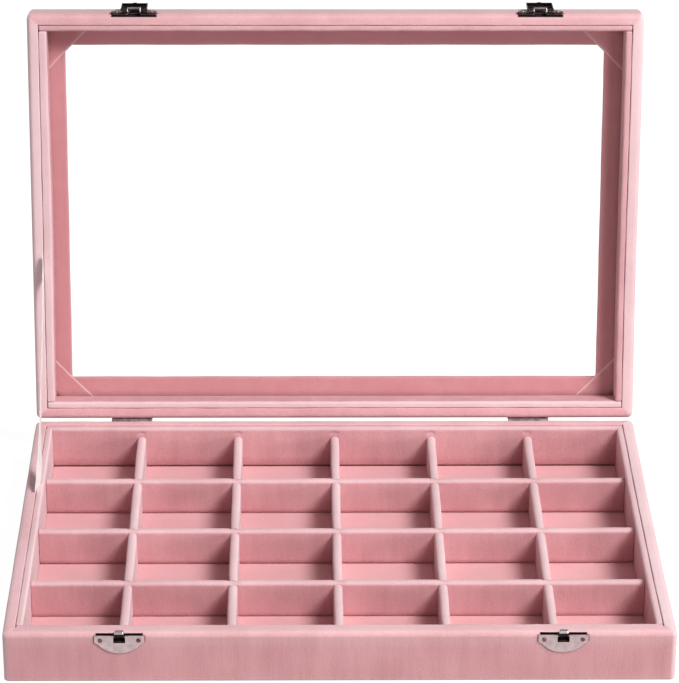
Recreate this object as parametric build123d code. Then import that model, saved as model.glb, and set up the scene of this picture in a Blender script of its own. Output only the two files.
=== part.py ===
from build123d import *
import os

os.makedirs("parts", exist_ok=True)

# Velvet-lined jewelry display tray with a hinged glass lid, millimetres.
# Origin: centre of the tray's underside.  +X to the right, +Y to the back, +Z up.
# The lid and the latches are drawn closed and then turned to the stored pose:
# lid open and held by its ribbon, latch levers laid back on the lid's front face.

# ---------------------------------------------------------------- driving sizes
WIDTH = 350.0            # outside, X
DEPTH = 240.0            # outside, Y
TRAY_H = 29.2            # tray, underside to rim
LID_H = 18.0             # lid, mating plane to top
RIM_GAP = 0.5            # closed gap between the two rims
LID_OPEN = 99.75         # degrees, the ribbon is taut here

BOARD = 5.0              # side boards of tray and lid
NAP = 0.8                # velvet over the side boards and rims
LINER = 3.6              # velvet-covered liner boards
SLIT = 0.05              # seam between rim velvet and liner
COVER_T = 0.5            # felt cover under the tray
BOTTOM_T = 2.5           # bottom board
FLOOR_Z = 4.13           # top of the padded floor
LINER_TOP = 28.7         # tray liners stop just under the rim

DIV_T = 4.9              # divider thickness
DIV_TOP = 23.5           # divider top
COL_PITCH = 56.2         # front-to-back dividers
COLS = [-2, -1, 0, 1, 2]
ROWS_Y = [-58.5, -2.0, 55.6]   # left-to-right dividers

CORNER_R = 3.0           # upright corners
EDGE_R = 2.6             # outer rim edges
GLASS_T = 2.0
LIP_T = 2.3              # velvet-covered lip round the window
LIP_NAP = 0.5
WINDOW_X = 308.1
WINDOW_Y = 198.1
PATCH_LEG = 24.0         # corner patches on the lip
PATCH_T = 0.22

HINGE_Y = 120.7          # hinge axis
HINGE_Z = 27.85
HINGE_X = {"left": -118.5, "right": 113.4}     # hinge centres
LATCH_X = {"left": -113.8, "right": 116.1}     # latch and strike centres
KNUCKLE_R = 1.25
PIN_R = 0.6
RUN = 0.05               # running clearance on a radius
HINGE_W = 23.6
LEAF_T = 0.7
LEAF_H = 12.0

PLATE_T = 0.6            # latch and strike plates
STRIKE_W = 26.0
STRIKE_TOP = 28.06
STRIKE_SIDE = 24.1       # lower corner of the ears
STRIKE_SHOULDER = 22.5   # where the bow starts
STRIKE_LOW = 17.6
LATCH_W = 25.7
LATCH_EDGE = 0.5         # straight edge above the mating plane
LATCH_SIDE = 4.4
LATCH_SHOULDER = 6.0
LATCH_H = 10.9
HOLE_LOW, HOLE_HIGH = 24.0, 27.4   # opening in the strike plate and the mortise behind it
SLOT_W = 12.1            # half length of the slot beside a plate's straight edge
LEVER_W = 14.7
LEVER_L = 12.2           # pin to tip
LEVER_BACK = {"left": 177.0, "right": 175.5}   # degrees, from fastened to laid back
LEVER_T = 0.5
LEVER_OUT = 1.3          # outer face from the pin
LEVER_IN = 0.85          # open edge from the pin

RIBBON_W = 10.0
RIBBON_T = 0.3
RIBBON_TRAY_Y = 36.0     # where it leaves the tray
RIBBON_LID_V = 94.0      # where it leaves the lid, from the lid's back edge

# ---------------------------------------------------------------- derived sizes
HX, HY = WIDTH / 2, DEPTH / 2
WALL = 2 * NAP + BOARD                   # 6.6
LIN_OUT_X, LIN_OUT_Y = HX - WALL - SLIT, HY - WALL - SLIT
LIN_IN_X, LIN_IN_Y = LIN_OUT_X - LINER, LIN_OUT_Y - LINER
MATE = TRAY_H + RIM_GAP                  # lid's mating plane when closed
LID_TOP = MATE + LID_H
FLANGE = LID_TOP - LIP_T                 # inner face of the lip
GLASS_HI = FLANGE - 0.3
GLASS_LO = GLASS_HI - GLASS_T
PIN_Y = -HY - 1.9                        # latch pin
PIN_Z = MATE + LATCH_EDGE + 2.3


def bx(x0, x1, y0, y1, z0, z1):
    return Pos((x0 + x1) / 2, (y0 + y1) / 2, (z0 + z1) / 2) * Box(
        abs(x1 - x0), abs(y1 - y0), abs(z1 - z0)
    )


def rod(x0, x1, y, z, r):
    """Round bar along X."""
    return Pos((x0 + x1) / 2, y, z) * Rot(0, 90, 0) * Cylinder(r, abs(x1 - x0))


def top_edges(s, inner=False):
    z = s.bounding_box().max.Z
    return [e for e in s.edges() if abs(e.center().Z - z) < 1e-3 and e.bounding_box().size.Z < 1e-3]


def open_lid(s):
    return Pos(0, HINGE_Y, HINGE_Z) * Rot(-LID_OPEN, 0, 0) * Pos(0, -HINGE_Y, -HINGE_Z) * s


def lay_back(s, side):
    return Pos(0, PIN_Y, PIN_Z) * Rot(-LEVER_BACK[side], 0, 0) * Pos(0, -PIN_Y, -PIN_Z) * s


def one(shape):
    """A single clean solid."""
    s = shape.solids()
    assert len(s) == 1, len(s)
    return s[0]


def save(shape, name):
    solids = shape if isinstance(shape, list) else list(shape.solids())
    out = solids[0] if len(solids) == 1 else Compound(solids)
    assert all(s.is_valid and s.volume > 0 for s in solids), name
    export_step(out, f"parts/{name}.step")
    print(f"{name:28s} solids {len(solids):2d}  volume {sum(s.volume for s in solids):10.1f}")


def rounded_block(x, y, z0, z1, corner, edge, side="top"):
    """Upright-cornered block with one outer face edge rounded."""
    s = bx(-x, x, -y, y, z0, z1)
    s = fillet(s.edges().filter_by(Axis.Z), corner)
    if edge:
        zz = z1 if side == "top" else z0
        es = [e for e in s.edges() if e.bounding_box().size.Z < 1e-3 and abs(e.center().Z - zz) < 1e-3]
        s = fillet(es, edge)
    return s


# ================================================================ tray carcass
ring = rounded_block(HX - NAP, HY - NAP, COVER_T, TRAY_H - NAP, CORNER_R - NAP, EDGE_R - NAP)
ring = ring - bx(-(HX - NAP - BOARD), HX - NAP - BOARD, -(HY - NAP - BOARD), HY - NAP - BOARD, -1, TRAY_H)
inner_x, inner_y = HX - NAP - BOARD, HY - NAP - BOARD

nail_holes = []


def nail(x, y, z, toward, long=5.0):
    """Dome-headed pin driven along Y; toward is +1 for a front face, -1 for a back face."""
    shank = Pos(x, y + toward * long / 2, z) * Rot(90, 0, 0) * Cylinder(PIN_R, long)
    head = Pos(x, y - toward * 0.22, z) * Rot(90, 0, 0) * Cylinder(1.2, 0.44)
    face = [e for e in head.edges() if abs(e.center().Y - (y - toward * 0.44)) < 1e-3]
    head = fillet(face, 0.3)
    return one(shank + head), shank


strike_nails, hinge_tray_nails, hinge_lid_nails, latch_nails = [], [], [], []
tray_shanks, lid_shanks = [], []
for side in ("left", "right"):
    for dx in (-9.95, 9.95):
        n, sh = nail(LATCH_X[side] + dx, -HY - PLATE_T, 25.3, 1)
        strike_nails.append(n)
        tray_shanks.append(sh)
        n, sh = nail(LATCH_X[side] + dx, -HY - PLATE_T, MATE + LATCH_EDGE + 3.2, 1)
        latch_nails.append(n)
        lid_shanks.append(sh)
    for dx in (-7.6, 7.6):
        n, sh = nail(HINGE_X[side] + dx, HY + LEAF_T, HINGE_Z - 7.6, -1)
        hinge_tray_nails.append(n)
        tray_shanks.append(sh)
        n, sh = nail(HINGE_X[side] + dx, HY + LEAF_T, HINGE_Z + 8.0, -1)
        hinge_lid_nails.append(n)
        lid_shanks.append(sh)

# Mortises behind the plates' openings and slots beside their straight edges.
tray_cuts, lid_cuts = [], []
for side in ("left", "right"):
    cx = LATCH_X[side]
    tray_cuts.append(bx(cx - 3.1, cx + 3.1, -HY - 1, -HY + 5.2, HOLE_LOW, HOLE_HIGH))
    tray_cuts.append(bx(cx - SLOT_W, cx + SLOT_W, -HY - 1, -HY + 2.0, 27.3, 28.5))
    lid_cuts.append(bx(cx - 3.3, cx + 3.3, -HY - 1, -HY + 5.2, MATE + 1.5, PIN_Z + 1.2))
    lid_cuts.append(bx(cx - SLOT_W - 0.5, cx + SLOT_W + 0.5, -HY - 1, -HY + 1.75, MATE - 1, MATE + 1.5))

boards = {
    "tray_front_board": one(ring & bx(-HX, HX, -HY, -inner_y, 0, TRAY_H)),
    "tray_back_board": one(ring & bx(-HX, HX, inner_y, HY, 0, TRAY_H)),
    "tray_left_board": one(ring & bx(-HX, -inner_x, -inner_y, inner_y, 0, TRAY_H)),
    "tray_right_board": one(ring & bx(inner_x, HX, -inner_y, inner_y, 0, TRAY_H)),
}
for name, b in boards.items():
    if "front" in name or "back" in name:
        for sh in tray_shanks:
            b = b - sh
    if "front" in name:
        for c in tray_cuts:
            b = b - c
    save(one(b), name)

save(one(bx(-inner_x, inner_x, -inner_y, inner_y, COVER_T, COVER_T + BOTTOM_T)), "tray_bottom_board")
save(one(rounded_block(HX - NAP - 0.02, HY - NAP - 0.02, 0, COVER_T, CORNER_R - NAP, 0)), "tray_underside_cover")

# Velvet: up the outside, over the rim and down behind the liners.
wrap = rounded_block(HX, HY, 0.3, TRAY_H, CORNER_R, EDGE_R)
wx, wy = inner_x - NAP, inner_y - NAP
wrap = wrap - bx(-wx, wx, -wy, wy, -1, 40)
rim_in = [e for e in wrap.edges()
          if abs(e.center().Z - TRAY_H) < 1e-3 and e.bounding_box().size.Z < 1e-3
          and (abs(abs(e.center().X) - wx) < 0.01 or abs(abs(e.center().Y) - wy) < 0.01)]
wrap = fillet(rim_in, 1.4)
solid_ring = rounded_block(HX - NAP, HY - NAP, -1, TRAY_H - NAP, CORNER_R - NAP, EDGE_R - NAP)
solid_ring = solid_ring - bx(-inner_x, inner_x, -inner_y, inner_y, -2, TRAY_H)
wrap = wrap - solid_ring
wrap = wrap - bx(-inner_x, inner_x, -inner_y, inner_y, -1, 14.0)
for hx in HINGE_X.values():
    wrap = wrap - rod(hx - HINGE_W / 2 - 0.3, hx + HINGE_W / 2 + 0.3, HINGE_Y, HINGE_Z, KNUCKLE_R + 0.35)
for sh in tray_shanks + tray_cuts:
    wrap = wrap - sh
save(one(wrap), "tray_velvet_wrap")

# Liners: front and back run the full width, the sides stand between them.
z0, z1 = COVER_T + BOTTOM_T, LINER_TOP


def liner(x0, x1, y0, y1, za, zb, rim):
    s = bx(x0, x1, y0, y1, za, zb)
    es = [e for e in s.edges() if abs(e.center().Z - rim) < 1e-3 and e.bounding_box().size.Z < 1e-3
          and e.length > 20]
    return one(fillet(es, 1.2))


save(liner(-LIN_OUT_X, LIN_OUT_X, -LIN_OUT_Y, -LIN_IN_Y, z0, z1, z1), "tray_liner_front")
save(liner(-LIN_OUT_X, LIN_OUT_X, LIN_IN_Y, LIN_OUT_Y, z0, z1, z1), "tray_liner_back")
save(liner(-LIN_OUT_X, -LIN_IN_X, -LIN_IN_Y, LIN_IN_Y, z0, z1, z1), "tray_liner_left")
save(liner(LIN_IN_X, LIN_OUT_X, -LIN_IN_Y, LIN_IN_Y, z0, z1, z1), "tray_liner_right")
save(one(bx(-LIN_IN_X, LIN_IN_X, -LIN_IN_Y, LIN_IN_Y, z0, FLOOR_Z)), "tray_floor_pad")

# Dividers, cross-lapped: the front-to-back ones are slotted from below and run
# unbroken along the top, the left-to-right ones are slotted from above.
mid = (FLOOR_Z + DIV_TOP) / 2
h = DIV_T / 2


def round_top(s, along):
    es = [e for e in s.edges() if abs(e.center().Z - DIV_TOP) < 1e-3 and e.bounding_box().size.Z < 1e-3
          and (e.bounding_box().size.Y if along == "y" else e.bounding_box().size.X) > 10]
    return fillet(es, h - 0.25)


for n, i in enumerate(COLS):
    x = i * COL_PITCH
    s = round_top(bx(x - h, x + h, -LIN_IN_Y + 0.02, LIN_IN_Y - 0.02, FLOOR_Z, DIV_TOP), "y")
    for y in ROWS_Y:
        s = s - bx(x - h - 1, x + h + 1, y - h - 0.03, y + h + 0.03, FLOOR_Z - 1, mid + 0.03)
    save(one(s), f"divider_long_{n + 1}")
for n, y in enumerate(ROWS_Y):
    s = round_top(bx(-LIN_IN_X + 0.02, LIN_IN_X - 0.02, y - h, y + h, FLOOR_Z, DIV_TOP), "x")
    for i in COLS:
        x = i * COL_PITCH
        s = s - bx(x - h - 0.03, x + h + 0.03, y - h - 1, y + h + 1, mid, DIV_TOP + 1)
    save(one(s), f"divider_cross_{n + 1}")


# ================================================================ strike plates
def half_moon(cx, w, straight, side, shoulder, low):
    """Plate in the front face: straight edge, short ears with clipped corners, bowed far edge."""
    a, b = w / 2, w / 2 - 2.15
    pts = [(cx - b, shoulder), (cx - a, side), (cx - a, straight), (cx + a, straight), (cx + a, side), (cx + b, shoulder)]
    line1 = Polyline(*[Vector(px, -HY, pz) for px, pz in pts])
    arc = ThreePointArc(Vector(cx + b, -HY, shoulder), Vector(cx, -HY, low), Vector(cx - b, -HY, shoulder))
    face = make_face([*line1.edges(), arc])
    s = extrude(face, amount=PLATE_T, dir=(0, -1, 0))
    ears = [e for e in s.edges().filter_by(Axis.Y)
            if abs(abs(e.center().X - cx) - a) < 0.01 and abs(e.center().Z - side) < 0.01]
    return fillet(ears, 0.9)


for name, cx in LATCH_X.items():
    p = half_moon(cx, STRIKE_W, STRIKE_TOP, STRIKE_SIDE, STRIKE_SHOULDER, STRIKE_LOW)
    pad = bx(cx - 4.6, cx + 4.6, -HY - PLATE_T - 0.4, -HY - PLATE_T + 0.2, 21.4, STRIKE_TOP)
    low_corners = [e for e in pad.edges().filter_by(Axis.Y) if e.center().Z < 22]
    pad = fillet(low_corners, 3.4)
    p = p + pad
    p = p - bx(cx - 3.1, cx + 3.1, -HY - 3, -HY + 1, HOLE_LOW, HOLE_HIGH)
    # hook that rises over the hole and turns down in front
    hook = bx(cx - 2.35, cx + 2.35, -HY - 2.6, -HY, 27.4, 31.2)
    es = [e for e in hook.edges().filter_by(Axis.X) if e.center().Z > 31 and e.center().Y < -HY - 1]
    hook = fillet(es, 1.3)
    es = [e for e in hook.edges().filter_by(Axis.Y) if e.center().Z > 31]
    hook = fillet(es, 0.5)
    hook = hook - bx(cx - 3, cx + 3, -HY - 2.1, -HY - PLATE_T, 26, 30.6) - bx(cx - 3, cx + 3, -HY - 3, -HY - PLATE_T - 0.4, 26, 28.3)
    p = p + hook
    for sh in tray_shanks:
        if abs(sh.center().X - cx) < 13 and sh.center().Y < 0:
            p = p - sh
    save(one(p), f"strike_plate_{name}")
save(strike_nails, "strike_plate_nails")


# ================================================================ hinges
def leaf(cx, side):
    """side -1 is the tray leaf (down), +1 the lid leaf (up)."""
    n, pitch = 5, HINGE_W / 5
    mine = (0, 2, 4) if side < 0 else (1, 3)
    z_near = HINGE_Z
    z_far = HINGE_Z + side * (KNUCKLE_R + LEAF_H)
    s = bx(cx - HINGE_W / 2, cx + HINGE_W / 2, HY, HY + LEAF_T, min(z_near, z_far), max(z_near, z_far))
    es = [e for e in s.edges().filter_by(Axis.Y) if abs(e.center().Z - z_far) < 1e-3]
    s = fillet(es, 1.5)
    for k in range(n):
        xa = cx - HINGE_W / 2 + k * pitch
        if k in mine:
            s = s + rod(xa + 0.06, xa + pitch - 0.06, HINGE_Y, HINGE_Z, KNUCKLE_R)
        else:
            za, zb = (HINGE_Z - 1.75, HINGE_Z + 2) if side < 0 else (HINGE_Z - 2, HINGE_Z + 1.75)
            s = s - bx(xa - (0.06 if k else 1), xa + pitch + (0.06 if k < n - 1 else 1), HY - 1, HINGE_Y + 2, za, zb)
    for k in range(n + 1):
        xa = cx - HINGE_W / 2 + k * pitch
        s = s - bx(xa - 0.06, xa + 0.06, HY - 1, HINGE_Y + 2, HINGE_Z - 1.3, HINGE_Z + 1.3)
    return s


for name, cx in HINGE_X.items():
    t = leaf(cx, -1) - rod(cx - 20, cx + 20, HINGE_Y, HINGE_Z, PIN_R)
    l = leaf(cx, 1) - rod(cx - 20, cx + 20, HINGE_Y, HINGE_Z, PIN_R + RUN)
    for sh in tray_shanks:
        if abs(sh.center().X - cx) < 13 and sh.center().Y > 0:
            t = t - sh
    for sh in lid_shanks:
        if abs(sh.center().X - cx) < 13 and sh.center().Y > 0:
            l = l - sh
    save(one(t), f"hinge_tray_leaf_{name}")
    save(open_lid(one(l)), f"hinge_lid_leaf_{name}")
    save(one(rod(cx - HINGE_W / 2, cx + HINGE_W / 2, HINGE_Y, HINGE_Z, PIN_R)), f"hinge_pin_{name}")
save(hinge_tray_nails, "hinge_tray_nails")
save([open_lid(n) for n in hinge_lid_nails], "hinge_lid_nails")

# ================================================================ lid
lid_ring = rounded_block(HX - NAP, HY - NAP, MATE + NAP, FLANGE + LIP_NAP, CORNER_R - NAP, EDGE_R - NAP, "bottom")
lid_ring = lid_ring - bx(-inner_x, inner_x, -inner_y, inner_y, 0, 80)
rails = {
    "lid_front_rail": lid_ring & bx(-HX, HX, -HY, -inner_y, 0, 80),
    "lid_back_rail": lid_ring & bx(-HX, HX, inner_y, HY, 0, 80),
    "lid_left_rail": lid_ring & bx(-HX, -inner_x, -inner_y, inner_y, 0, 80),
    "lid_right_rail": lid_ring & bx(inner_x, HX, -inner_y, inner_y, 0, 80),
}
for name, b in rails.items():
    if "front" in name or "back" in name:
        for sh in lid_shanks:
            b = b - sh
    if "front" in name:
        for c in lid_cuts:
            b = b - c
    save(open_lid(one(b)), name)

# Lip strips round the window, glued on the rails.
lip_lo, lip_hi = FLANGE + LIP_NAP, LID_TOP - LIP_NAP
lip_x, lip_y = WINDOW_X / 2 + LIP_NAP, WINDOW_Y / 2 + LIP_NAP
plate = rounded_block(HX - NAP, HY - NAP, lip_lo, lip_hi, CORNER_R - NAP, 0.9)
plate = plate - bx(-lip_x, lip_x, -lip_y, lip_y, 0, 80)
lips = {
    "lid_lip_front": plate & bx(-HX, HX, -HY, -lip_y, 0, 80),
    "lid_lip_back": plate & bx(-HX, HX, lip_y, HY, 0, 80),
    "lid_lip_left": plate & bx(-HX, -lip_x, -lip_y, lip_y, 0, 80),
    "lid_lip_right": plate & bx(lip_x, HX, -lip_y, lip_y, 0, 80),
}
for name, b in lips.items():
    save(open_lid(one(b)), name)

# Velvet: from behind the liners, over the rim, up the side, over the top, round
# the window edge and back along the inner face of the lip.
shell = bx(-HX, HX, -HY, HY, MATE, LID_TOP)
shell = fillet(shell.edges().filter_by(Axis.Z), CORNER_R)
flat = [e for e in shell.edges() if e.bounding_box().size.Z < 1e-3]
shell = fillet([e for e in flat if abs(e.center().Z - MATE) < 1e-3], EDGE_R)
shell = fillet([e for e in shell.edges() if e.bounding_box().size.Z < 1e-3 and abs(e.center().Z - LID_TOP) < 1e-3], 1.7)
shell = shell - bx(-wx, wx, -wy, wy, 0, FLANGE)
rim_in = [e for e in shell.edges()
          if abs(e.center().Z - MATE) < 1e-3 and e.bounding_box().size.Z < 1e-3
          and (abs(abs(e.center().X) - wx) < 0.01 or abs(abs(e.center().Y) - wy) < 0.01)]
shell = fillet(rim_in, 1.4)
window = bx(-WINDOW_X / 2, WINDOW_X / 2, -WINDOW_Y / 2, WINDOW_Y / 2, 0, 80)
window = fillet(window.edges().filter_by(Axis.Z), 0.8)
shell = shell - window
core_low = rounded_block(HX - NAP, HY - NAP, MATE + NAP, FLANGE + LIP_NAP, CORNER_R - NAP, EDGE_R - NAP, "bottom")
core_low = core_low - bx(-inner_x, inner_x, -inner_y, inner_y, 0, 80)
shell = shell - core_low - plate
shell = shell - (bx(-inner_x, inner_x, -inner_y, inner_y, MATE + 11.5, FLANGE))
for sh in lid_shanks + lid_cuts:
    shell = shell - sh
save(open_lid(one(shell)), "lid_velvet_wrap")

# Triangular velvet patches in the lip's four corners, between lip and glass.
patches = []
for sx in (-1, 1):
    for sy in (-1, 1):
        c = (sx * (LIN_IN_X + 2), sy * (LIN_IN_Y + 2))
        leg = PATCH_LEG + 4
        pts = [Vector(c[0], c[1], FLANGE - PATCH_T - 0.02),
               Vector(c[0] - sx * leg, c[1], FLANGE - PATCH_T - 0.02),
               Vector(c[0], c[1] - sy * leg, FLANGE - PATCH_T - 0.02)]
        tri = make_face(Polyline(*pts, close=True))
        patches.append(open_lid(one(extrude(tri, amount=PATCH_T, dir=(0, 0, 1)))))
save(patches, "lid_corner_patches")

save(open_lid(one(bx(-wx + 0.2, wx - 0.2, -wy + 0.2, wy - 0.2, GLASS_LO, GLASS_HI))), "lid_glass")

la, lb = MATE + 0.4, GLASS_LO - 0.02
save(open_lid(liner(-LIN_OUT_X, LIN_OUT_X, -LIN_OUT_Y, -LIN_IN_Y, la, lb, la)), "lid_liner_front")
save(open_lid(liner(-LIN_OUT_X, LIN_OUT_X, LIN_IN_Y, LIN_OUT_Y, la, lb, la)), "lid_liner_back")
save(open_lid(liner(-LIN_OUT_X, -LIN_IN_X, -LIN_IN_Y, LIN_IN_Y, la, lb, la)), "lid_liner_left")
save(open_lid(liner(LIN_IN_X, LIN_OUT_X, -LIN_IN_Y, LIN_IN_Y, la, lb, la)), "lid_liner_right")

# ================================================================ latches
STIRRUP = 2.95           # outer face of the stirrup's bar from the lid's front
for name, cx in LATCH_X.items():
    edge = MATE + LATCH_EDGE
    p = half_moon(cx, LATCH_W, edge, edge + LATCH_SIDE, edge + LATCH_SHOULDER, edge + LATCH_H)
    p = p - bx(cx - 3.3, cx + 3.3, -HY - 3, -HY + 1, edge - 1, PIN_Z + 1.2)
    # stirrup that carries the lever's pin
    st = bx(cx - 3.9, cx + 3.9, -HY - STIRRUP, -HY, PIN_Z - 1.2, PIN_Z + 1.2)
    st = fillet([e for e in st.edges().filter_by(Axis.X) if e.center().Y < -HY - 2], 0.5)
    st = fillet([e for e in st.edges() if e.center().Y < -HY - 2 and abs(abs(e.center().X - cx) - 3.9) < 0.01
                 and e.bounding_box().size.Z > 0.2 and e.bounding_box().size.Y < 0.01], 0.4)
    st = st - bx(cx - 3.3, cx + 3.3, -HY - STIRRUP + 0.4, -HY + 1, PIN_Z - 2, PIN_Z + 2)
    p = p + st
    p = p - rod(cx - 5, cx + 5, PIN_Y, PIN_Z, PIN_R + RUN)
    for sh in lid_shanks:
        if abs(sh.center().X - cx) < 13 and sh.center().Y < 0:
            p = p - sh
    save(open_lid(one(p)), f"latch_plate_{name}")

    # Pressed cap-shaped lever, drawn fastened: hangs from the pin over the strike.
    w = LEVER_W / 2
    yo = PIN_Y - LEVER_OUT           # outer face
    yi = PIN_Y + LEVER_IN            # open edge
    tip = PIN_Z - LEVER_L
    ear = 1.1
    cap = bx(cx - w, cx + w, yo, yi, tip, PIN_Z + ear)
    cap = fillet([e for e in cap.edges().filter_by(Axis.Z) if e.center().Y < yo + 0.1], 0.6)
    cap = cap - bx(cx - w + LEVER_T, cx + w - LEVER_T, yo + LEVER_T, yi + 1, tip + LEVER_T, PIN_Z + 5)
    cap = cap - bx(cx - w + LEVER_T, cx + w - LEVER_T, yo - 1, yi + 1, PIN_Z - 2.5, PIN_Z + 5)
    cap = cap - bx(cx - w - 1, cx + w + 1, yo - 1, PIN_Y - ear, PIN_Z - 2.5, PIN_Z + 5)
    ears = bx(cx - w - 1, cx + w + 1, yo - 1, yi + 1, PIN_Z, PIN_Z + 5) - rod(cx - w - 2, cx + w + 2, PIN_Y, PIN_Z, ear)
    cap = cap - ears
    # finger tab, and a small detent nib on the end wall
    tab = bx(cx - 2.6, cx + 2.6, yo - 1.0, yo + 0.4, tip + 0.05, tip + LEVER_T + 0.05)
    tab = fillet([e for e in tab.edges().filter_by(Axis.Z) if e.center().Y < yo - 0.9], 0.8)
    nib = bx(cx - 1.15, cx + 1.15, yi - 0.3, yi + 0.3, tip, tip + LEVER_T)
    nib = fillet([e for e in nib.edges().filter_by(Axis.Z) if e.center().Y > yi], 0.25)
    cap = cap + tab + nib
    cap = cap - rod(cx - 9, cx + 9, PIN_Y, PIN_Z, PIN_R)
    # cross bar that catches under the hook
    bar = rod(cx - w + LEVER_T - 0.2, cx + w - LEVER_T + 0.2, -HY - 1.85, 27.5, 0.45)
    cap = cap + bar
    save(open_lid(lay_back(one(cap), name)), f"latch_lever_{name}")
    pin = rod(cx - w - 0.25, cx + w + 0.25, PIN_Y, PIN_Z, PIN_R)
    save(open_lid(lay_back(one(pin), name)), f"latch_pin_{name}")
save([open_lid(n) for n in latch_nails], "latch_plate_nails")

# ================================================================ ribbon lid stay
rx = -(LIN_OUT_X + SLIT / 2)
a = Vector(rx, RIBBON_TRAY_Y, TRAY_H + 0.35)
probe = open_lid(Pos(rx, HY - RIBBON_LID_V, MATE - 0.35) * Box(0.1, 0.1, 0.1))
b = probe.center()
along = (b - a).normalized()
plane = Plane(origin=(a + b) * 0.5, x_dir=Vector(1, 0, 0), z_dir=along)
length = (b - a).length
trim = RIBBON_W / 2 * 1.35
ribbon = plane * Box(RIBBON_T, RIBBON_W, length)
# ends cut square to the rims, clear of them
ribbon = ribbon - bx(rx - 5, rx + 5, -20, 110, -10, TRAY_H + 0.35)
ribbon = ribbon - open_lid(bx(rx - 5, rx + 5, -60, 110, MATE - 0.35, MATE + 40))
save(one(ribbon), "lid_stay_ribbon")
print("ribbon length between exits", round(length, 2), "from", a, "to", b)
c = open_lid(Pos(0, PIN_Y, PIN_Z) * Box(0.1, 0.1, 0.1)).center()
print("latch pin axis at rest", c)
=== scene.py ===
import math

import bmesh
import bpy
import numpy as np
from mathutils import Matrix, Vector


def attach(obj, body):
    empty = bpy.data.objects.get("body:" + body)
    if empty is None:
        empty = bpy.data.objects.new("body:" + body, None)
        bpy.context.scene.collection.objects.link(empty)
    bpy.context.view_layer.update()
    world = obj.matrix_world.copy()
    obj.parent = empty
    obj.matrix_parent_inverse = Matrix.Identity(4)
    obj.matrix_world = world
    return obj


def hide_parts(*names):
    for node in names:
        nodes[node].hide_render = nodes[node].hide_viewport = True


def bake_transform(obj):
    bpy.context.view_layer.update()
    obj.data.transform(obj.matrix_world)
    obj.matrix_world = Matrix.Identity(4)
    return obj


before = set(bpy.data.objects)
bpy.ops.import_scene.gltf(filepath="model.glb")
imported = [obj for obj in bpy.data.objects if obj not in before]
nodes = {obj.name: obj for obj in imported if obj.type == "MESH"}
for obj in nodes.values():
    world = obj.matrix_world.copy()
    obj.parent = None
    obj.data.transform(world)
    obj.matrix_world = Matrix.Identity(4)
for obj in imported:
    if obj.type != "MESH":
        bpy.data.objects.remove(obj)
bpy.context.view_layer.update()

# Velvet-covered jewelry display tray.  Sizes below are millimetres in the tray's frame;
# lid pieces are drawn closed and turned open with opened().
HX, HY = 175.0, 120.0
RIM = 29.2
MATE, LID_TOP = 29.7, 47.7
WALL = 6.6
SEAM = 0.05                      # open seam between rim velvet and liner velvet
LOX, LOY = HX - WALL - 0.05, HY - WALL - 0.05
LIX, LIY = LOX - 3.6, LOY - 3.6
LINER_Z0, LINER_Z1 = 3.0, 28.7
FLOOR = 4.13
DIV_H, DIV_TOP = 2.45, 23.5
COLS = [i * 56.2 for i in (-2, -1, 0, 1, 2)]
ROWS = [-58.5, -2.0, 55.6]
WX, WY = 154.05, 99.05
LIP_IN, GLASS_LO, GLASS_HI = 45.4, 43.1, 45.1
HINGE = (120.7, 27.85)
OPEN = math.radians(99.75)
PLATES = (-113.8, 116.1)          # latch and strike centres
PIN_Z = MATE + 2.8


# ---------------------------------------------------------------- helpers
def opened(p):
    """Closed-lid points turned to the stored, open pose."""
    p = np.asarray(p, float)
    c, s = math.cos(OPEN), math.sin(OPEN)
    y, z = p[..., 1] - HINGE[0], p[..., 2] - HINGE[1]
    return np.stack([p[..., 0], y * c + z * s + HINGE[0], -y * s + z * c + HINGE[1]], -1)


def wob(t, seed, waves=((47.0, 1.0), (23.0, 0.55), (11.0, 0.3))):
    """Slow uneven wander, the same each run, about -1 to 1."""
    t = np.asarray(t, float)
    out = np.zeros_like(t)
    for k, (length, a) in enumerate(waves):
        ph = math.sin(seed * 12.9898 + k * 78.233) * 43758.5453
        out = out + a * np.sin(2 * math.pi * t / length + (ph - math.floor(ph)) * 2 * math.pi)
    return out / sum(a for _, a in waves)


def smooth(t, a, b):
    t = np.clip((np.asarray(t, float) - a) / (b - a), 0, 1)
    return t * t * (3 - 2 * t)


def window(t, half, fade):
    """1 inside +-half, falling to 0 over fade."""
    return 1 - smooth(np.abs(t), half, half + fade)


def bowed_sides(v, lid):
    """The thin side boards of both halves bow in a little; the left ones stand slightly in."""
    v = np.array(v, float)
    x, y = v[:, 0], v[:, 1]
    left = smooth(-x, 156, 167) * 0.52
    if lid:
        right = smooth(x, 156, 167) * -0.55 * np.exp(-((y - 33) / 70) ** 2)
        v[:, 1] += 0.35 * smooth(-y, 108, 116)
    else:
        right = smooth(x, 156, 167) * (-0.25 - 0.32 * np.exp(-((y - 35) / 65) ** 2) + 0.55 * smooth(-y, 50, 118))
    v[:, 0] += left + right
    return v


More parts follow.
